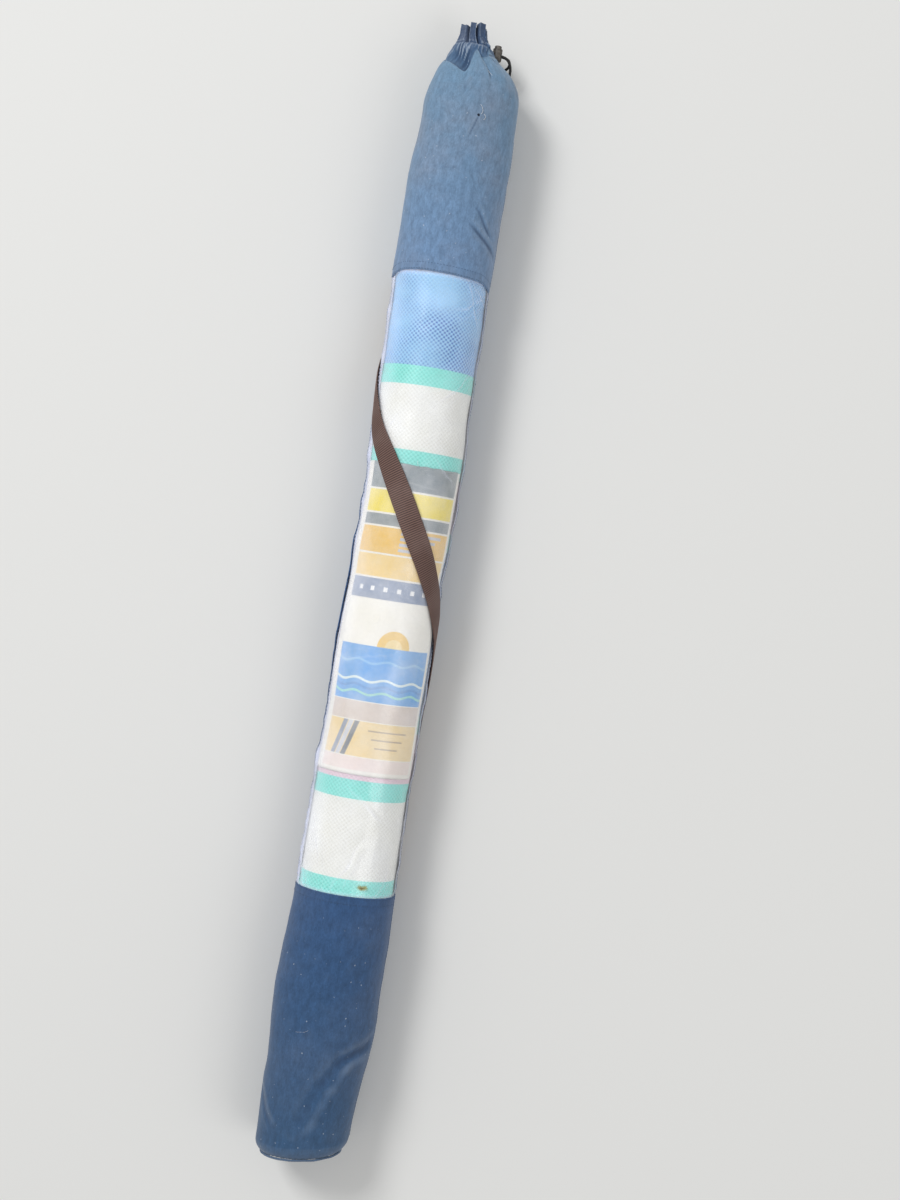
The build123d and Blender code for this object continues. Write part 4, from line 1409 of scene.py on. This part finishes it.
def curl(distance, angle, heading, bend, length, lift):
    """A loose curl of thread that lies on the bag, from one place, with its heading and bend in degrees."""
    places = []
    for number in range(int(length / thread_step)):
        if distance < window_from:
            radius = shoulder_radius(distance, angle)
        elif distance < window_to:
            radius = film_radius - waist(distance)
        else:
            radius = bag_surface(distance, angle)
        places.append(spot(distance, angle, radius + lift + 0.3 * math.sin(number / 2)))
        distance += thread_step * math.cos(math.radians(heading))
        angle += math.degrees(thread_step * math.sin(math.radians(heading)) / bag_radius)
        heading += bend + wear_random.uniform(-14, 14)
    return places


loose_ends = [
    curl(107.5, 14.5, 140, 13, 13, 0.5),
    curl(106.5, 18, 60, -16, 9, 0.5),
    curl(56, 19.5, 10, 6, 9, 0.6),
    curl(484, 3, 5, 3, 8, 0.3),
]
white_thread = spun_polyester_thread("white_polyester_thread", "#dfe3e8")
lay_thread("loose_thread_ends", loose_ends, 0.45, white_thread)
lay_thread("faint_thread_end", [curl(1114, -27, 88, 2, 16, 0.2)], 0.22, pale_thread)


def painted_shade_of_hole():
    """Painted shade inside a hole worn right through the canvas: nearly black and quite matt, with a little
    fluff in it.
    """
    material, tree = new_finish("painted_shade_of_hole")
    place = add(tree, "TexCoord", {}, {}).outputs["Object"]
    fluff = add(tree, "TexNoise", {}, {"Vector": place, "Scale": per(0.714)})
    tone = add(tree, "ValToRGB", {"stops": [(0.4, "#10151f"), (0.7, "#27324a")]}, {"Fac": fluff})
    dark = add(tree, "BsdfPrincipled", {}, {"Base Color": tone, "Roughness": 0.95})
    add(tree, "OutputMaterial", {}, {"Surface": dark})
    return material


hole_at = (108.5, 12.0)


def hole_place(radius, angle):
    """A place on the small hole, whose inside is drawn as painted shade: a dark, ragged round just above the
    canvas.
    """
    turn = math.radians(angle)
    ragged = radius * (1 + 0.25 * rough(angle / 40, 0.0, 95.0))
    distance = hole_at[0] + ragged * math.cos(turn)
    beside = hole_at[1] + math.degrees(ragged * math.sin(turn) / bag_radius)
    return spot(distance, beside, shoulder_radius(distance, beside) + 0.12)


hole_grid = lay_grid([1.5, 1.0, 0.1], steps(-180, 180, 30), hole_place, wound_cut, closed=True)
attach(make_piece("hole_painted_shade", [hole_grid], 0, painted_shade_of_hole()), "bag_fabric")


# Stage: a plain pale floor of matt paint, and soft light from all round.
# A large soft lamp stands beyond the neck on the left, and a weaker one on the right.
floor_half = 4.0
floor_height = -0.2 * mm
floor_paint, tree = new_finish("matt_floor_paint")
matt = add(tree, "BsdfDiffuse", {}, {"Color": "#e9e9e7"})
add(tree, "OutputMaterial", {}, {"Surface": matt})
corners = [(floor_half * x, floor_half * y, floor_height) for x, y in ((-1, -1), (1, -1), (1, 1), (-1, 1))]
new_piece("floor", corners, [(0, 1, 2, 3)], floor_paint)

world = bpy.data.worlds.new("studio")
bpy.context.scene.world = world
world.use_nodes = True
sky_tree = world.node_tree
sky_tree.nodes.clear()
rays = add(sky_tree, "LightPath", {}, {}).outputs
seen = {0: rays["Is Camera Ray"], 1: rays["Is Transmission Ray"]}
seen = add(sky_tree, "Math", {"operation": "MAXIMUM"}, seen)
soft = add(sky_tree, "Background", {}, {"Color": "#ffffff", "Strength": 0.5})
bright = add(sky_tree, "Background", {}, {"Color": "#f4f4f3", "Strength": 1.0})
sky = add(sky_tree, "MixShader", {}, {0: seen, 1: soft, 2: bright})
add(sky_tree, "OutputWorld", {}, {"Surface": sky})


def soft_lamp(name, place, size, power):
    """A square soft lamp that faces the middle of the bag."""
    lamp = bpy.data.lights.new(name, "AREA")
    lamp.energy = power
    lamp.size = size
    lamp_object = bpy.data.objects.new(name, lamp)
    lamp_object.location = place
    lamp_object.rotation_euler = (-Vector(place)).to_track_quat("-Z", "Y").to_euler()
    bpy.context.scene.collection.objects.link(lamp_object)


soft_lamp("key_lamp", (-2.7, 2.5, 4.0), 1.6, 136.0)
soft_lamp("fill_lamp", (3.0, -1.5, 4.0), 2.6, 36.0)

# Camera: straight over the bag and turned a little, as the photograph was taken.
camera_lens = bpy.data.cameras.new("camera")
camera_lens.lens = 58.5
camera_lens.sensor_width = 36.0
camera = bpy.data.objects.new("camera", camera_lens)
camera.location = (0.0598, 0.0386, 2.2)
camera.rotation_euler = (-0.0171, 0.0, 0.1499)
bpy.context.scene.collection.objects.link(camera)
bpy.context.scene.camera = camera
bpy.context.scene.view_settings.view_transform = "Standard"

bpy.context.view_layer.update()
